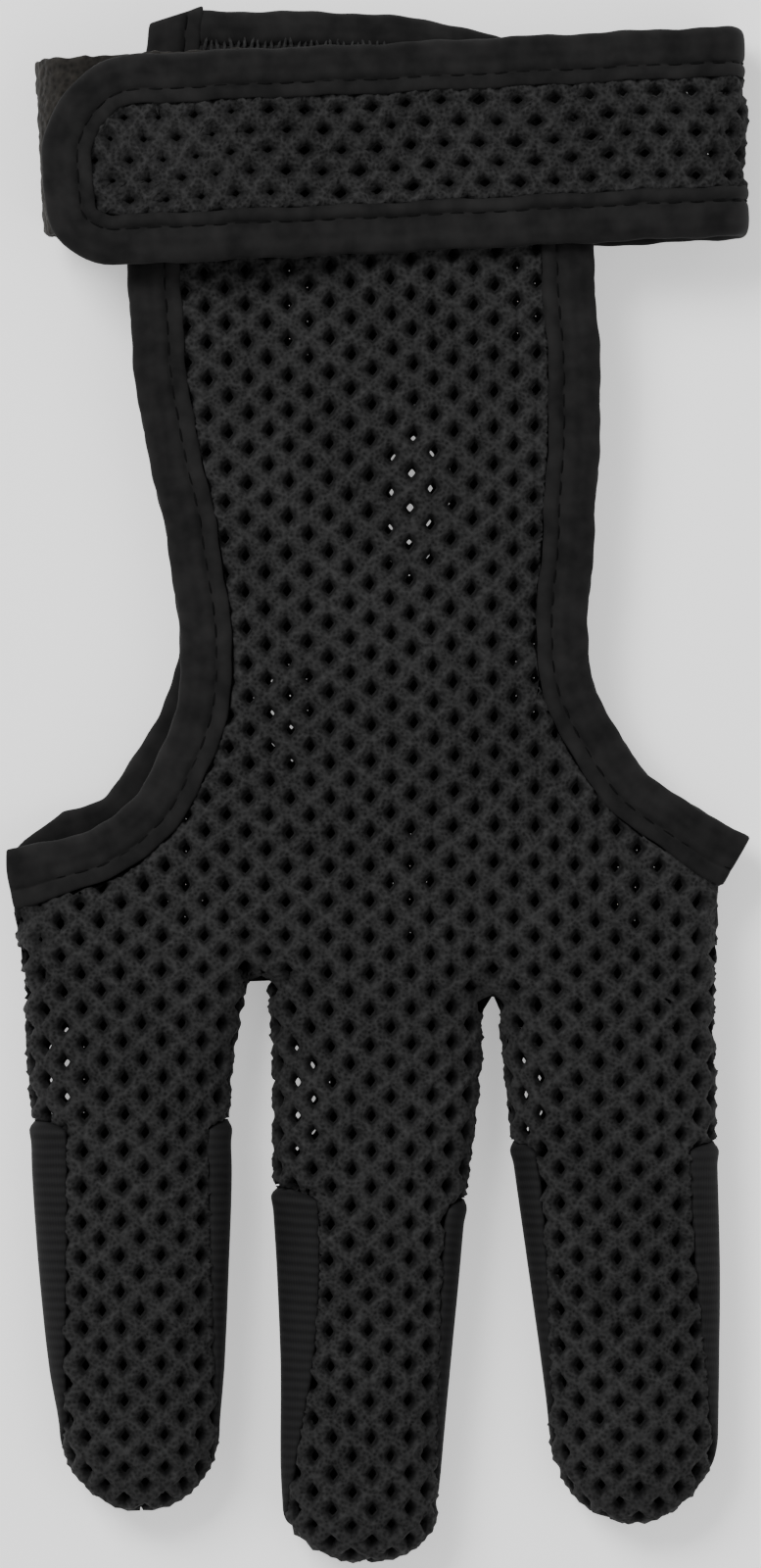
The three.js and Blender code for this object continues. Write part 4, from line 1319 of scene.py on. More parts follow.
@dataclass
class FoldedTape:
    """A tape folded over an edge, with a stitch row in a groove and small puckers.

    Lengths in millimetres: before and after are how far it goes on past the run's ends,
    slant how much further its fold starts than its inner edge, and flare how far the inner
    edge turns in at the far end. There the part from slant_from of the width outwards is
    cut back, by end_slant for the whole width. stitch_place is a share of the width.
    """

    name: str
    run: TapeRun
    thickness: float = BINDING_THICKNESS
    leaf: float = 0.72
    before: float = 0.0
    after: float = 0.0
    slant: float = 0.0
    end_slant: float = 0.0
    slant_from: float = 0.65
    flare: float = 0.0
    step: float = 1.7
    pucker: float = 0.06
    wave: float = 5.3
    phase: float = 0.0
    stitch_place: float = 0.31
    stitch_step: float = 3.1
    stitch_depth: float = 0.44
    stitch_margin: float = 1.2
    groove: float = 0.06
    flare_run: tuple[float, float] = (8.0, 6.0)
    pinch: float = 0.25
    pinch_run: float = 0.6

    @property
    def whole(self) -> float:
        """Returns the tape's length with its ends."""
        return self.run.length + self.before + self.after

    def profile(self) -> np.ndarray:
        """Returns the fold's section from the upper leaf's edge round to the lower one's."""
        half = self.thickness / 2 - self.leaf / 2
        edge = self.run.width - self.leaf / 2
        w = self.run.width
        return np.array([
            [0.20, half * 0.74],
            [0.75, half * 0.98],
            [w * 0.16, half * 1.12],
            [w * (self.stitch_place - self.groove), half * 1.0],
            [w * self.stitch_place, half * 0.1],
            [w * (self.stitch_place + self.groove), half * 0.84],
            [w * 0.45, half * 1.0],
            [w * 0.62, half * 1.04],
            [w * 0.78, half * 0.98],
            [edge - 0.45, half * 0.78],
            [edge, half * 0.30],
            [edge, -half * 0.30],
            [edge - 0.45, -half * 0.80],
            [w * 0.78, -half],
            [w * 0.50, -half],
            [w * 0.24, -half * 0.96],
            [0.20, -half * 0.9],
        ])

    def ripple(self, run: float, x: float) -> float:
        """Returns the height of the puckers at a place on the tape."""
        near_stitch = math.exp(-((x / self.run.width - self.stitch_place) / 0.22) ** 2)
        fine = math.sin(2 * math.pi * run / self.stitch_step)
        slow = math.sin(2 * math.pi * run / (self.wave * 2.3) + self.phase)
        return self.pucker * (0.55 * near_stitch * fine + 0.5 * slow * (1 - near_stitch))

    def place(self, run: float, x: float, height: float) -> np.ndarray:
        """Returns a point at a length along the tape, x out from its inner edge, and up."""
        inner, out, up, _ = self.run.at(run)
        return inner + out * x + up * height

    def build(self, material: bpy.types.Material, node: Sequence[str]) -> None:
        profile = self.profile()
        count = max(8, int(self.whole / self.step))
        across = reach_along(profile)
        ripples = (
            (0.13, self.wave / (2 * math.pi), math.inf, self.phase),
            (0.14, self.wave * 2.7 / (2 * math.pi), math.inf, 2 * self.phase),
        )
        places = np.zeros((count + 1, len(profile), 3))
        flat = np.zeros((count + 1, len(profile), 2))
        for i, (x, height) in enumerate(profile):
            share = x / self.run.width
            start = -self.before - self.slant * (0.5 - share)
            cut = self.end_slant * max(0.0, share - self.slant_from)
            end = self.run.length + self.after - cut
            leaf_lift = 1.0 if height > 0 else -0.35
            for row, run in enumerate(np.linspace(start, end, count + 1)):
                flared = smooth((run - self.run.length + self.flare_run[0]) / self.flare_run[1])
                turned_in = self.flare * (1 - share) * flared
                wavy = x + waves(run, 0.0, ripples) - turned_in
                lift = self.ripple(run, x) * leaf_lift
                end_pinch = 1 - self.pinch * math.exp(-min(run - start, end - run) / self.pinch_run)
                places[row, i] = self.place(run, wavy, height * end_pinch + lift)
                flat[row, i] = [across[i], run]
        tape = grid_piece(self.name, places, flat)
        thicken(tape, self.leaf)
        point_outwards(tape)
        place_piece(tape, material, node)

    def stitch_places(self) -> list[tuple[np.ndarray, np.ndarray, np.ndarray]]:
        """Returns the place, the way along and the way up of each stitch of the row."""
        x = self.run.width * self.stitch_place
        height = self.thickness / 2 - self.stitch_depth
        found = []
        total = self.whole - 2 * self.stitch_margin
        count = int(total / self.stitch_step)
        for i in range(count + 1):
            run = -self.before + self.stitch_margin + total * i / max(count, 1)
            _, _, up, along = self.run.at(run)
            found.append((self.place(run, x, height), along, up))
        return found


def hand_run(layer: Layer, side: Side, rows: int = 84) -> TapeRun:
    """Finds the run of a tape along a side edge of a layer, from wrist to crotch.

    Args:
        layer: The back or the palm.
        side: The side of the hand.
        rows: How many places are worked out.

    Returns:
        The run.
    """
    share = 0.0 if side is Side.LEFT else 1.0
    stations = np.linspace(0, 1, rows + 1)
    places = np.array([layer.middle(station, share) for station in stations])
    along = unit(np.gradient(places, axis=0))
    out = unit(np.stack([along[:, 1], -along[:, 0], np.zeros(len(along))], axis=1))
    if side is Side.RIGHT:
        out = -out
    if layer.up > 0:
        droop = [smooth(s * 4 - 1) * (1 - smooth(s * 5 - 4)) for s in stations]
        out[:, 2] = -BINDING_DROOP * np.array(droop)
        out = unit(out)
    up = unit(np.cross(along, out))
    up[up[:, 2] < 0] *= -1
    return TapeRun(places + out * CLEARANCE, out, up, BINDING_WIDTH)


def wrist_run(layer: Layer, rows: int = 24) -> TapeRun:
    """Finds the run of the tape along the wrist edge of a layer, from left to right."""
    places = np.array([layer.middle(0.0, i / rows) for i in range(rows + 1)])
    out = np.tile([0.0, 1.0, 0.0], (rows + 1, 1))
    up = np.tile([0.0, 0.0, 1.0], (rows + 1, 1))
    return TapeRun(places + out * CLEARANCE, out, up, EdgeTapes.wrist_width)


@dataclass
class EdgeTapes:
    """The six tapes round the edges of the back and the palm, and the overlocked row."""

    side_reach: float = BINDING_WIDTH - 1.2
    wrist_lap: float = 1.6
    wrist_width: float = BINDING_WIDTH - 0.7
    overlock_step: float = 0.95
    overlock_place: float = 1.7
    overlock_length: float = 2.7
    overlock_thread: float = 0.62
    unevenness: float = 0.3

    def lean(self, side: Side) -> float:
        """Returns how far a side tape leans from straight at the wrist."""
        out = hand_run(BACK, side, rows=21).out[0]
        return float(out[1] / abs(out[0]))

    def tapes(self, layer: Layer) -> list[tuple[FoldedTape, str]]:
        """Returns the three tapes of a layer with the CAD nodes that they stand for."""
        wrist_width = (PANEL_EDGES[0, 4] - PANEL_EDGES[0, 2]) * HAND_HALF_WIDTH
        end_slope = 4 * WRIST_EDGE_DROP / wrist_width
        corner_drop = BINDING_WIDTH * (end_slope + self.lean(Side.RIGHT))
        corner_lean = BINDING_WIDTH * self.lean(Side.LEFT)
        is_back = layer.up > 0
        runs = {
            "left": hand_run(layer, Side.LEFT),
            "right": hand_run(layer, Side.RIGHT),
            "wrist": wrist_run(layer),
        }
        ends = {
            "left": dict(
                before=self.side_reach if is_back else self.side_reach - 1,
                after=1.4, slant=SLANTED_END_RISE if is_back else 0.0,
                end_slant=2.0 if is_back else 26.0, phase=0.4, flare=1.2,
            ),
            "right": dict(
                before=-CLEARANCE - corner_drop / 2, after=2.2, slant=corner_drop, phase=1.9,
                flare=0.8,
            ),
            "wrist": dict(
                before=self.wrist_lap - CLEARANCE - corner_lean, after=BINDING_WIDTH, phase=0.9,
            ),
        }
        return [
            (
                FoldedTape(f"{layer.name}_{place}_tape", run, **ends[place]),
                f"{layer.name}_{place}_binding",
            )
            for place, run in runs.items()
        ]

    def overlock(self, tape: FoldedTape) -> list[tuple[np.ndarray, np.ndarray, np.ndarray]]:
        """Returns the short stitches across the inner part of the wrist tape."""
        rng = np.random.default_rng(5)
        found = []
        for run in np.arange(0.5, tape.run.length - 1, self.overlock_step):
            _, out, up, along = tape.run.at(run)
            lean = out + along * rng.uniform(-self.unevenness, self.unevenness)
            x = self.overlock_place + rng.uniform(-self.unevenness, self.unevenness)
            found.append((tape.place(run, x, tape.thickness / 2 - 0.05), lean, up))
        return found

    def build(self, finishes: "Finishes") -> None:
        """Folds the tapes and sews them on."""
        for layer in (BACK, PALM):
            seams = []
            for tape, node in self.tapes(layer):
                tape.build(finishes.tape, [node])
                seams += tape.stitch_places()
                if layer is BACK and node == "back_wrist_binding":
                    sew(
                        "wrist_overlock", self.overlock(tape), finishes.air_mesh,
                        self.overlock_length, self.overlock_thread,
                    )
            sew(f"{layer.name}_stitches", seams, finishes.thread)


def sew(
    name: str,
    seams: Sequence[tuple[np.ndarray, np.ndarray, np.ndarray]],
    material: bpy.types.Material,
    length: float = 2.2,
    width: float = 0.46,
) -> None:
    """Makes one stitch as a small rounded bar and copies it along a seam.

    Args:
        name: The piece's name.
        seams: Place, way along and way up of each stitch, in millimetres.
        material: The thread.
        length: Length of a stitch in millimetres.
        width: Width of the thread in millimetres.
    """
    deselect_all()
    bpy.ops.mesh.primitive_uv_sphere_add(segments=6, ring_count=4, radius=0.5)
    pattern = bpy.context.object
    with editing_all():
        bpy.ops.transform.resize(value=(width, width * 0.7, length))
    points = np.array([vertex.co for vertex in pattern.data.vertices])
    faces = [list(polygon.vertices) for polygon in pattern.data.polygons]
    bpy.data.objects.remove(pattern, do_unlink=True)
    places, polygons = [], []
    for number, (place, along, up) in enumerate(seams):
        across = np.cross(up, along)
        frame = np.stack([across, up, along])
        places.append(points @ frame + place)
        polygons += [[i + number * len(points) for i in face] for face in faces]
    piece = mesh_piece(name, np.concatenate(places), polygons)
    point_outwards(piece)
    bpy.ops.object.shade_smooth()
    place_piece(piece, material)


# The wrist strap: a folded loop with a rounded tab, held by loop pile and hooks


def half_turn(centre_x: float, reach: float, start: float, end: float, side: int) -> list:
    """Returns places round a fold of the strap, from one level to another."""
    middle = (start + end) / 2
    half = (start - end) / 2
    turns = np.linspace(0, math.pi, 17)
    return [
        (centre_x + side * reach * math.sin(turn), middle + half * math.cos(turn))
        for turn in turns
    ]


def strap_line() -> np.ndarray:
    """Returns the strap's middle line: x along it and height through the layers."""
    ramp_start = PILE_END_X + 1
    ramp_length = 14.0
    fold_x = STRAP_RIGHT_X - STRAP_TAPE_THICKNESS / 2 - STRAP_FOLD_REACH
    line = [(lerp(STRAP_LEFT_X, ramp_start, s), TAB_LEVEL) for s in np.linspace(0, 1, 14)]
    for share in np.linspace(0, 1, 9)[1:]:
        level = lerp(TAB_LEVEL, STRAP_FRONT_LEVEL, smooth(share))
        line.append((ramp_start + ramp_length * share, level))
    front_start = ramp_start + ramp_length
    line += [(lerp(front_start, fold_x, s), STRAP_FRONT_LEVEL) for s in np.linspace(0, 1, 16)[1:-1]]
    line += half_turn(fold_x, STRAP_FOLD_REACH, STRAP_FRONT_LEVEL, STRAP_BACK_LEVEL, 1)
    line += [(lerp(fold_x, STRAP_BACK_END_X, s), STRAP_BACK_LEVEL) for s in np.linspace(0, 1, 20)[1:]]
    return np.array(line)


def pile_line() -> np.ndarray:
    """Returns the pile strip's middle line, from under the strap's end round to the top."""
    back_level = PILE_THICKNESS / 2
    fold_x = STRAP_LEFT_X - PILE_REACH + PILE_THICKNESS / 2 + PILE_FOLD_REACH
    line = [(STRAP_BACK_END_X - CLEARANCE, back_level)]
    line += half_turn(fold_x, PILE_FOLD_REACH, back_level, PILE_TOP_LEVEL, -1)
    line += [(lerp(fold_x, PILE_END_X, s), PILE_TOP_LEVEL) for s in np.linspace(0, 1, 10)[1:]]
    return np.array(line)


class Band:
    """A band that follows a line: length along it, across its width, height off its face."""

    def __init__(self, line: np.ndarray) -> None:
        """Measures the line and finds its normals."""
        self.line = line
        self.reach = reach_along(line)
        before, after = neighbours(len(line))
        along = unit(line[after] - line[before])
        self.normals = np.stack([-along[:, 1], along[:, 0]], axis=1)

    @property
    def length(self) -> float:
        """Returns the length of the band."""
        return float(self.reach[-1])

    def frame(self, length: float) -> tuple[np.ndarray, np.ndarray]:
        """Returns the place and the normal at a length, in the strap's own frame."""
        held = clamp(length, 0.0, self.length)
        normal = unit(place_along(held, self.reach, self.normals))
        along = np.array([normal[1], -normal[0]])
        return place_along(held, self.reach, self.line) + along * (length - held), normal

    def point(self, length: float, across: float, height: float) -> np.ndarray:
        """Returns a point of the band in the glove's frame."""
        spot, normal = self.frame(length)
        near_fold = smooth((spot[0] - STRAP_RIGHT_X + STRAP_WAVY_START) / STRAP_WAVY_RUN)
        wave = waves(across, 0.0, ((0.34, 1.9, math.inf, 1.0), (0.26, 4.4, math.inf, 0)))
        along = spot[0] + normal[0] * height + wave * near_fold
        return turned(along, across, spot[1] + normal[1] * height)

    def up(self, length: float) -> np.ndarray:
        """Returns the way off the band's face, in the glove's frame."""
        return self.point(length, 0.0, 1.0) - self.point(length, 0.0, 0.0)


@dataclass(frozen=True)
class Corner:
    """One rounded corner of the strap's tab."""

    length: float
    across: float

    def edge(self, inset: float, length: float) -> float:
        """Returns how far across the corner's edge lies at a length, moved in by an inset."""
        share = clamp((self.length - length) / (self.length - inset))
        rise = (self.across - inset) * math.sqrt(1 - share * share)
        return STRAP_WIDTH / 2 - self.across + rise


@dataclass
class WristStrap:
    """The strap: a window of air mesh in a tape frame, the pile strip and the hook patch."""

    upper: Corner = field(default_factory=lambda: Corner(13.6, 15.4))
    lower: Corner = field(default_factory=lambda: Corner(11.0, 9.0))
    tuck: float = 0.9
    band: Band = field(default_factory=lambda: Band(strap_line()))
    pile_band: Band = field(default_factory=lambda: Band(pile_line()))

    def window(self) -> Cloth:
        """Returns the sheet of air mesh inside the tape frame."""
        inset = STRAP_TAPE_WIDTH + CLEARANCE - self.tuck
        ends = inset + np.array([0.0, 0.3, 0.8, 1.5, 2.4, 3.6, 5.0, 6.6])
        lengths = np.concatenate([ends, np.arange(inset + 8.0, self.band.length, 1.0)])
        columns = 12
        places, flat = [], []
        for length in lengths:
            low = -self.lower.edge(inset, length)
            high = self.upper.edge(inset, length)
            across = np.linspace(low, high, columns + 1)
            places.append([self.band.point(length, a, MESH_WALL / 2) for a in across])
            flat.append(np.stack([np.full(columns + 1, length), across], axis=1))
        return Cloth.from_rows(np.array(flat), np.array(places))

    def warp(self, flat: np.ndarray) -> np.ndarray:
        """Makes the strap's lattice uneven."""
        x, y = flat[..., 0], flat[..., 1]
        along = waves(x, y, ((0.30, 6.0, 3.1, 0), (0.2, 5.3, math.inf, 0)))
        across = waves(x, y, ((0.26, 4.3, math.inf, 0.8), (0.12, -8.0, 2.2, 0)))
        return flat + np.stack([along, across], axis=-1)

    def hole_size(self, length: float, across: float) -> float:
        """Returns how open the holes are: almost closed where the hooks are sewn beneath."""
        sewn_end = PILE_END_X - STRAP_LEFT_X + 1.5
        uneven = 0.14 * math.sin(length * 1.7 + across * 2.3)
        return lerp(0.5, 0.86, smooth((length - sewn_end) / 6.0 + 0.5)) + uneven

    def route(self) -> TapeRun:
        """Returns the run of the tape down one edge, round the tab and back up the other."""
        inset = STRAP_TAPE_WIDTH / 2
        middle = STRAP_WIDTH / 2 - inset
        start = self.upper.length + 0.5
        straight = np.arange(start, self.band.length, 1.6)
        stops = [(length, middle, 0.0, 1.0) for length in straight[::-1]]
        stops += self.round_corner(self.upper, 1)
        stops += self.round_corner(self.lower, -1)[::-1]
        stops += [(length, -middle, 0.0, -1.0) for length in straight]
        inner, out, up = [], [], []
        for length, across, out_length, out_across in stops:
            foot = self.band.point(length, across, 0)
            inner.append(self.band.point(length - out_length * inset, across - out_across * inset, 0))
            out.append(self.band.point(length + out_length, across + out_across, 0) - foot)
            up.append(self.band.up(length))
        return TapeRun(np.array(inner), unit(np.array(out)), np.array(up), STRAP_TAPE_WIDTH)

    def round_corner(self, corner: Corner, side: int) -> list[tuple[float, float, float, float]]:
        """Returns the stops of the tape round one corner of the tab."""
        inset = STRAP_TAPE_WIDTH / 2
        stops = []
        for turn in np.linspace(0, math.pi / 2, 13):
            reach = (corner.across - inset) * math.cos(turn)
            stops.append((
                corner.length - (corner.length - inset) * math.sin(turn),
                side * (STRAP_WIDTH / 2 - corner.across + reach),
                -math.sin(turn),
                side * math.cos(turn),
            ))
        return stops

    def build_window(self, finishes: "Finishes") -> None:
        """Knits the strap's window."""
        cloth = self.window()
        stitch = NetStitch(half_across=2.95, half_along=2.55, braid=0.18, fuzz=0.15)
        net = Net("strap_net", stitch, turn=True, warp=self.warp)
        net.add(cloth, (32.6, 0.1), lambda x, y, index: True, self.hole_size)
        piece = net.build()
        place_piece(piece, finishes.air_mesh, ["strap_mesh"])

    def build_tape(self, finishes: "Finishes") -> None:
        """Folds the strap's tape frame and sews it on."""
        tape = FoldedTape(
            "strap_tape", self.route(), thickness=STRAP_TAPE_THICKNESS, phase=0.7,
            stitch_place=0.30,
        )
        tape.build(finishes.tape, ["strap_binding"])
        sew("strap_stitches", tape.stitch_places(), finishes.thread)

    def build_pile(self, finishes: "Finishes") -> None:
        """Makes the strip of loop pile that closes the loop at the left."""
        band = self.pile_band
        rng = np.random.default_rng(7)
        lengths = np.arange(0, band.length + 0.35, 0.7)
        lengths[-1] = band.length
        shares = np.linspace(0, 1, 40)
        places = np.zeros((len(lengths), len(shares), 3))
        flat = np.zeros((len(lengths), len(shares), 2))
        rough = rng.normal(0, 1, (len(lengths), len(shares)))
        for row, length in enumerate(lengths):
            for column, share in enumerate(shares):
                near_edge = min(share, 1 - share) * PILE_WIDTH
                ragged = 0.22 * rough[row, column] if near_edge < 0.3 else 0.0
                across = PILE_SHIFT + PILE_WIDTH * (share - 0.5) + ragged
                loops = 0.13 * rough[row, column]
                places[row, column] = band.point(length, across, loops)
                flat[row, column] = [length, across]
        pile = grid_piece("pile_strip_loops", places, flat)
        thicken(pile, PILE_THICKNESS - 0.3)
        point_outwards(pile)
        place_piece(pile, finishes.pile, ["pile_strip"])

    def build_hooks(self, finishes: "Finishes") -> None:
        """Makes the hook patch that is sewn under the tab."""
        width = STRAP_WIDTH - 2 * STRAP_TAPE_WIDTH - 1
        start = PILE_END_X - HOOK_LENGTH
        rows, columns = 30, 24
        places = np.zeros((rows, columns, 3))
        for row, along in enumerate(np.linspace(-1, 1, rows)):
            for column, across in enumerate(np.linspace(-1, 1, columns)):
                corner = max(0.0, abs(along) + abs(across) - 1.86) * 1.4
                squeeze = 1 - corner
                knob = 0.08 * ((row + column) % 2)
                places[row, column] = turned(
                    start + HOOK_LENGTH / 2 + along * squeeze * HOOK_LENGTH / 2,
                    across * squeeze * width / 2,
                    HOOK_LEVEL - knob,
                )
        hooks = grid_piece("hook_patch_sheet", places, places[..., :2])
        thicken(hooks, HOOK_THICKNESS - 0.2)
        point_outwards(hooks)
        place_piece(hooks, finishes.pile, ["hook_patch"])

    def build(self, finishes: "Finishes") -> None:
        """Makes the strap's pieces."""
        self.build_pile(finishes)
        self.build_hooks(finishes)
        self.build_tape(finishes)
        self.build_window(finishes)


# Finishes


class Nodes:
    """Adds nodes to one node tree, with their values and links."""

    def __init__(self, tree: bpy.types.NodeTree) -> None:
        """Keeps the tree."""
        self.tree = tree

    def feed(self, node: bpy.types.Node, inputs: dict[str, object]) -> None:
        """Sets a node's inputs, or links those that are given as another node's output."""
        for name, value in inputs.items():
            if isinstance(value, bpy.types.NodeSocket):
                self.tree.links.new(value, node.inputs[name])
            else:
                node.inputs[name].default_value = value

    def add(
        self, kind: str, inputs: dict[str, object] | None = None, **settings: object
    ) -> bpy.types.Node:
        """Adds a node.

        Args:
            kind: The node's kind.
            inputs: Values of its inputs, or outputs of other nodes that are linked to them.
            settings: Its other settings.

        Returns:
            The node.
        """
        node = self.tree.nodes.new(kind)
        for name, value in settings.items():
            setattr(node, name, value)
        self.feed(node, inputs or {})
        return node


def start_group(
    name: str, values: dict[str, float], outputs: Sequence[str]
) -> tuple[Nodes, bpy.types.NodeOutputs]:
    """Starts a node group that takes the place on the cloth and some values.

    Args:
        name: The group's name.
        values: Its inputs besides the place on the cloth.
        outputs: Its outputs.

    Returns:
        The group's nodes, and what its inputs give.
    """
    group = bpy.data.node_groups.new(name, "ShaderNodeTree")
    group.interface.new_socket(name="Cloth", in_out="INPUT", socket_type="NodeSocketVector")
    for value_name, value in values.items():
        made = group.interface.new_socket(
            name=value_name, in_out="INPUT", socket_type="NodeSocketFloat"
        )
        made.default_value = value
    for output in outputs:
        group.interface.new_socket(name=output, in_out="OUTPUT", socket_type="NodeSocketFloat")
    return Nodes(group), group.nodes.new("NodeGroupInput").outputs


def yarn_group() -> bpy.types.NodeTree:
    """Makes the group for knitted yarn: fine loops, broader unevenness and a height."""
    values = {"Loop Scale": 1800.0, "Patch Scale": 45.0}
    nodes, given = start_group("knitted_yarn", values, ("Loops", "Patches"))
    cloth, fine_scale = given["Cloth"], given["Loop Scale"]
    loops = nodes.add(
        "ShaderNodeTexVoronoi", {"Vector": cloth, "Scale": fine_scale, "Smoothness": 0.5},
        feature="SMOOTH_F1",
    )
    fine = nodes.add(
        "ShaderNodeTexNoise", {"Vector": cloth, "Scale": fine_scale, "Detail": 3.0, "Roughness": 0.6}
    )
    patches = nodes.add(
        "ShaderNodeTexNoise", {"Vector": cloth, "Scale": given["Patch Scale"], "Detail": 4.0}
    )
    mix = {"Factor": 0.45, "A": loops.outputs["Distance"], "B": fine.outputs["Fac"]}
    mixed = nodes.add("ShaderNodeMix", mix, data_type="FLOAT")
    end = nodes.tree.nodes.new("NodeGroupOutput")
    nodes.feed(end, {"Loops": mixed.outputs["Result"], "Patches": patches.outputs["Fac"]})
    return nodes.tree


def weave_group() -> bpy.types.NodeTree:
    """Makes the group for woven tape and ribbed cloth: two crossing sets of fine ribs."""
    values = {"Rib Scale": 300.0, "Cross Scale": 500.0, "Patch Scale": 60.0}
    nodes, given = start_group("woven_ribs", values, ("Ribs", "Patches"))
    waviness = {"Distortion": 0.6, "Detail": 2.0, "Detail Scale": 2.0}
    ribs, crossing = (
        nodes.add(
            "ShaderNodeTexWave", {"Vector": given["Cloth"], "Scale": given[name], **waviness},
            bands_direction=axis,
        ).outputs["Fac"]
        for axis, name in (("Y", "Rib Scale"), ("X", "Cross Scale"))
    )
    mixed = nodes.add("ShaderNodeMix", {"Factor": 0.35, "A": ribs, "B": crossing}, data_type="FLOAT")
    patches = nodes.add(
        "ShaderNodeTexNoise", {"Vector": given["Cloth"], "Scale": given["Patch Scale"], "Detail": 5.0}
    )
    end = nodes.tree.nodes.new("NodeGroupOutput")
    nodes.feed(end, {"Ribs": mixed.outputs["Result"], "Patches": patches.outputs["Fac"]})
    return nodes.tree


class Detail(Enum):
    """Which fine structure a finish has."""

    YARN = "yarn"
    RIBS = "ribs"


@dataclass(frozen=True)
class ClothFinish:
    """One cloth finish: its colours, its fine structure and its gloss.

    Colours are linear. scales are those of the detail's group: loops and patches for yarn,
    ribs, crossing ribs and patches for woven cloth. pit is painted shade in the net's holes,
    darker towards their bottom by their depth, which is kept on the piece as an attribute.
    """

    name: str
    dark: tuple[float, float, float]
    light: tuple[float, float, float]
    detail: Detail
    scales: tuple[float, ...]
    roughness: tuple[float, float] = (0.75, 0.95)
    bump: float = 0.5
    bump_distance: float = 0.00012
    sheen: float = 0.0
    specular: float = 0.12
    hole_shade: float = 0.0
    detail_share: float = 0.5
    spread: tuple[float, float] = (0.3, 0.7)

    def material(self, groups: dict[Detail, bpy.types.NodeTree]) -> bpy.types.Material:
        """Builds the material from its node groups."""
        material = bpy.data.materials.new(self.name)
        material.use_nodes = True
        nodes = Nodes(material.node_tree)
        place = nodes.add("ShaderNodeTexCoord")
        group = nodes.add("ShaderNodeGroup", node_tree=groups[self.detail])
        knitted = self.detail is Detail.YARN
        if knitted:
            names, height = ("Loop Scale", "Patch Scale"), "Loops"
        else:
            names, height = ("Rib Scale", "Cross Scale", "Patch Scale"), "Ribs"
        nodes.feed(group, {"Cloth": place.outputs["Object" if knitted else "UV"]})
        nodes.feed(group, dict(zip(names, self.scales)))
        patches, detail = group.outputs["Patches"], group.outputs[height]
        share = {"Factor": self.detail_share, "A": patches, "B": detail}
        mixed = nodes.add("ShaderNodeMix", share, data_type="FLOAT")
        spread = nodes.add("ShaderNodeMapRange", {
            "Value": mixed.outputs["Result"], "From Min": self.spread[0], "From Max": self.spread[1],
        })
        colours = {"Factor": spread.outputs["Result"], "A": (*self.dark, 1), "B": (*self.light, 1)}
        shown = nodes.add("ShaderNodeMix", colours, data_type="RGBA").outputs["Result"]
        # Painted shade, darker towards the bottom of the net's holes
        if self.hole_shade:
            shown = self.paint_hole_shade(nodes, shown)
        rough = nodes.add("ShaderNodeMapRange", {
            "Value": patches, "To Min": self.roughness[0], "To Max": self.roughness[1],
        })
        bump = nodes.add("ShaderNodeBump", {
            "Height": detail, "Strength": self.bump, "Distance": self.bump_distance,
        })
        nodes.feed(material.node_tree.nodes["Principled BSDF"], {
            "Base Color": shown, "Roughness": rough.outputs["Result"],
            "Normal": bump.outputs["Normal"], "Specular IOR Level": self.specular,
            "Sheen Weight": self.sheen, "Sheen Roughness": 0.6,
        })
        return material

    def paint_hole_shade(self, nodes: Nodes, colour: bpy.types.NodeSocket) -> bpy.types.NodeSocket:
        """Paints shade into the holes: darkens a colour towards their bottom and returns the result."""
        depth = nodes.add("ShaderNodeAttribute", attribute_name="hole_shade").outputs["Fac"]
        share = nodes.add("ShaderNodeMapRange", {
            "Value": depth, "From Min": 0.12, "From Max": 0.55, "To Max": self.hole_shade,
        })
        # The near-black that the painted shade in the holes goes to
        mix = {"Factor": share.outputs["Result"], "A": colour, "B": (0.0025, 0.0025, 0.0027, 1)}
        return nodes.add("ShaderNodeMix", mix, data_type="RGBA").outputs["Result"]


# Both nets have painted shade in their holes
AIR_MESH = ClothFinish(
    "charcoal_air_mesh", (0.0028, 0.0028, 0.0029), (0.033, 0.033, 0.0332), Detail.YARN,
    (1700.0, 60.0), bump=1.0, bump_distance=0.00028, sheen=0.02, hole_shade=0.9,
    detail_share=0.75, spread=(0.30, 0.76),
)
PALM_MESH = ClothFinish(
    "charcoal_palm_mesh", (0.0030, 0.0030, 0.0031), (0.024, 0.024, 0.0245), Detail.YARN,
    (1700.0, 60.0), bump=0.9, bump_distance=0.00022, sheen=0.02, hole_shade=0.9,
    detail_share=0.65,
)
TAPE = ClothFinish(
    "black_tape", (0.0034, 0.0034, 0.0035), (0.0125, 0.0122, 0.0122), Detail.RIBS,
    (14.0, 190.0, 260.0), bump=0.12, bump_distance=0.00006, sheen=0.02,
    detail_share=0.12, spread=(0.33, 0.67),
)
THREAD = ClothFinish(
    "black_thread", (0.0020, 0.0020, 0.0020), (0.0050, 0.0050, 0.0051), Detail.YARN,
    (3000.0, 200.0), bump=0.4, bump_distance=0.00005, specular=0.08,
)
FACING = ClothFinish(
    "black_ribbed_facing", (0.0045, 0.0045, 0.0047), (0.0125, 0.0125, 0.0128), Detail.RIBS,
    (230.0, 700.0, 70.0), bump=0.35, bump_distance=0.00008, roughness=(0.65, 0.9),
    detail_share=0.35,
)
PILE = ClothFinish(
    "brown_black_pile", (0.004, 0.0037, 0.0034), (0.027, 0.0245, 0.0215), Detail.YARN,
    (1100.0, 120.0), bump=1.0, bump_distance=0.00045, roughness=(0.9, 1.0),
    sheen=0.04,
)


class Finishes:
    """The materials of the glove, each built once."""

    def __init__(self) -> None:
        """Builds the node groups and the materials."""
        groups = {Detail.YARN: yarn_group(), Detail.RIBS: weave_group()}
        self.air_mesh = AIR_MESH.material(groups)
        self.palm_mesh = PALM_MESH.material(groups)
        self.tape = TAPE.material(groups)
        self.thread = THREAD.material(groups)
        self.facing = FACING.material(groups)
        self.pile = PILE.material(groups)


# Floor, light and camera


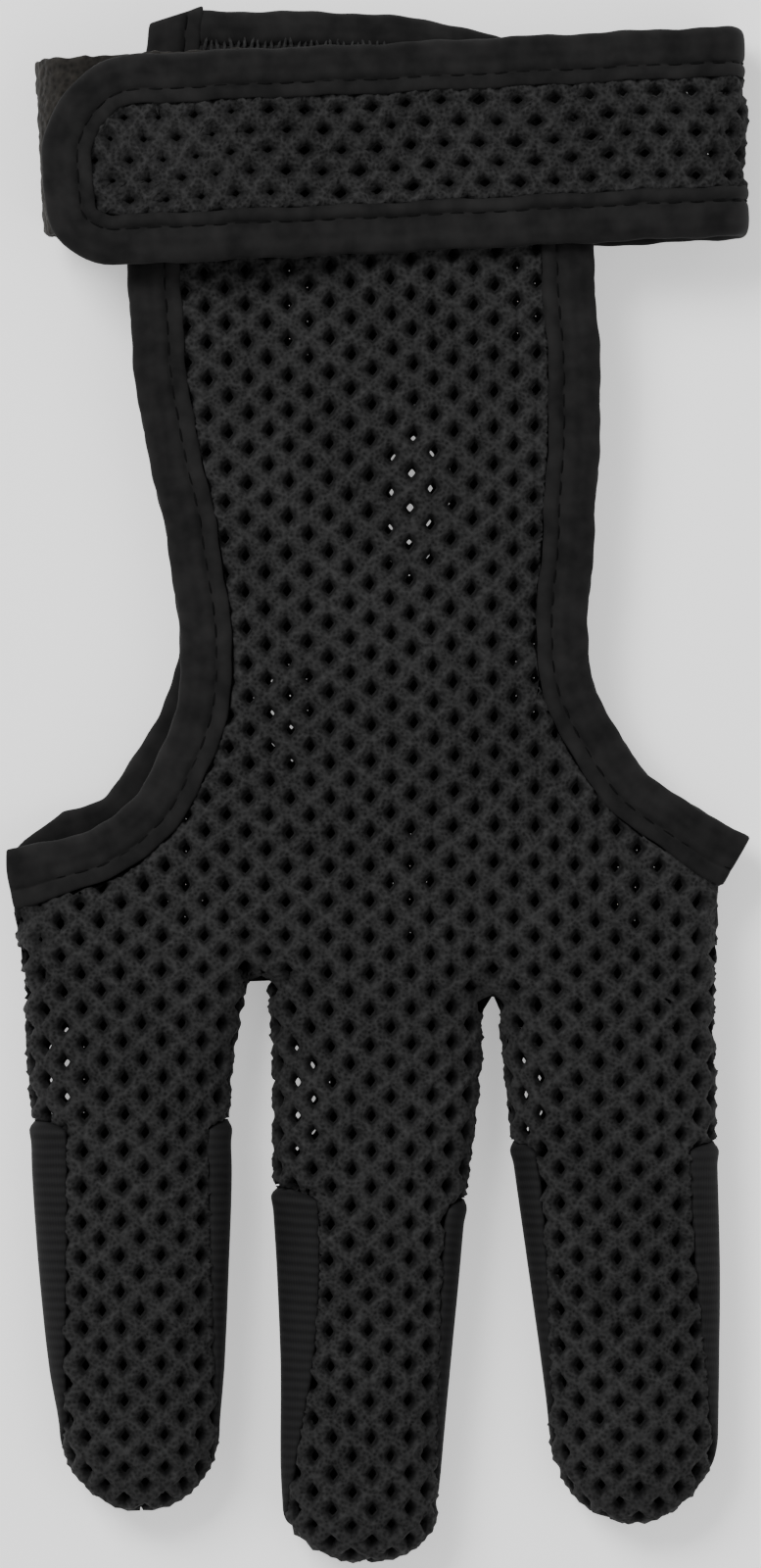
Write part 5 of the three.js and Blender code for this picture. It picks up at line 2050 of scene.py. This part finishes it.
@dataclass
class Studio:
    """A pale floor that glows a little as painted light, soft light from above and a camera that looks
    straight down.

    image_size is in pixels, pixel and middle in millimetres, and the rest in metres.
    """

    image_size: tuple[int, int] = (777, 1600)
    floor_size: float = 6.0
    floor_level: float = -0.0002
    # The floor's glow is painted light, which keeps it bright where it shows through the nets' holes
    # under the glove
    floor_glow: float = 0.45
    world_light: float = 0.5
    sensor: float = 36.0
    camera_height: float = 1.5
    glove_level: float = 0.008
    pixel: float = 0.14
    middle: tuple[float, float] = (0.5, 0.15)

    def add_floor(self) -> None:
        """Adds the floor, just under the glove."""
        deselect_all()
        bpy.ops.mesh.primitive_plane_add(size=self.floor_size, location=(0, 0, self.floor_level))
        floor = bpy.context.object
        floor.name = "floor"
        material = bpy.data.materials.new("pale_floor")
        material.use_nodes = True
        # Painted light: the floor glows, so that it stays bright in the glove's shade
        Nodes(material.node_tree).feed(material.node_tree.nodes["Principled BSDF"], {
            "Base Color": (0.93, 0.93, 0.93, 1), "Roughness": 0.9,
            "Emission Color": (1, 1, 1, 1), "Emission Strength": self.floor_glow,
        })
        floor.data.materials.append(material)

    def add_light(self, name: str, place: tuple, size: float, power: float) -> None:
        """Adds a square soft light that shines on the glove."""
        light = bpy.data.lights.new(name, "AREA")
        light.size = size
        light.energy = power
        lamp = bpy.data.objects.new(name, light)
        lamp.location = place
        lamp.rotation_euler = (-Vector(place)).to_track_quat("-Z", "Y").to_euler()
        bpy.context.collection.objects.link(lamp)

    def add_camera(self) -> None:
        """Adds the camera, whose frame is the photograph's."""
        camera = bpy.data.cameras.new("camera")
        tall = self.image_size[1] * self.pixel * MM
        camera.sensor_fit = "VERTICAL"
        camera.sensor_height = self.sensor
        camera.lens = self.sensor * (self.camera_height - self.glove_level) / tall
        camera.clip_start = 0.01
        camera.clip_end = 50
        eye = bpy.data.objects.new("camera", camera)
        eye.location = (self.middle[0] * MM, self.middle[1] * MM, self.camera_height)
        bpy.context.collection.objects.link(eye)
        bpy.context.scene.camera = eye

    def build(self) -> None:
        """Sets up the floor, the lights, the world and the camera."""
        self.add_camera()
        self.add_floor()
        self.add_light("key", (-0.7, 0.8, 1.1), 0.7, 25.0)
        self.add_light("fill", (0.8, -0.4, 1.1), 1.2, 7.0)
        world = bpy.data.worlds.new("studio")
        world.use_nodes = True
        Nodes(world.node_tree).feed(world.node_tree.nodes["Background"], {
            "Color": (1, 1, 1, 1), "Strength": self.world_light,
        })
        bpy.context.scene.world = world


def main() -> None:
    """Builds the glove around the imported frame."""
    logging.basicConfig(level=logging.INFO, format="%(name)s: %(message)s")
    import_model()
    Studio().build()
    finishes = Finishes()
    HandNets().build(finishes)
    FingerFacings().build(finishes)
    EdgeTapes().build(finishes)
    WristStrap().build(finishes)


if __name__ == "__main__":
    main()
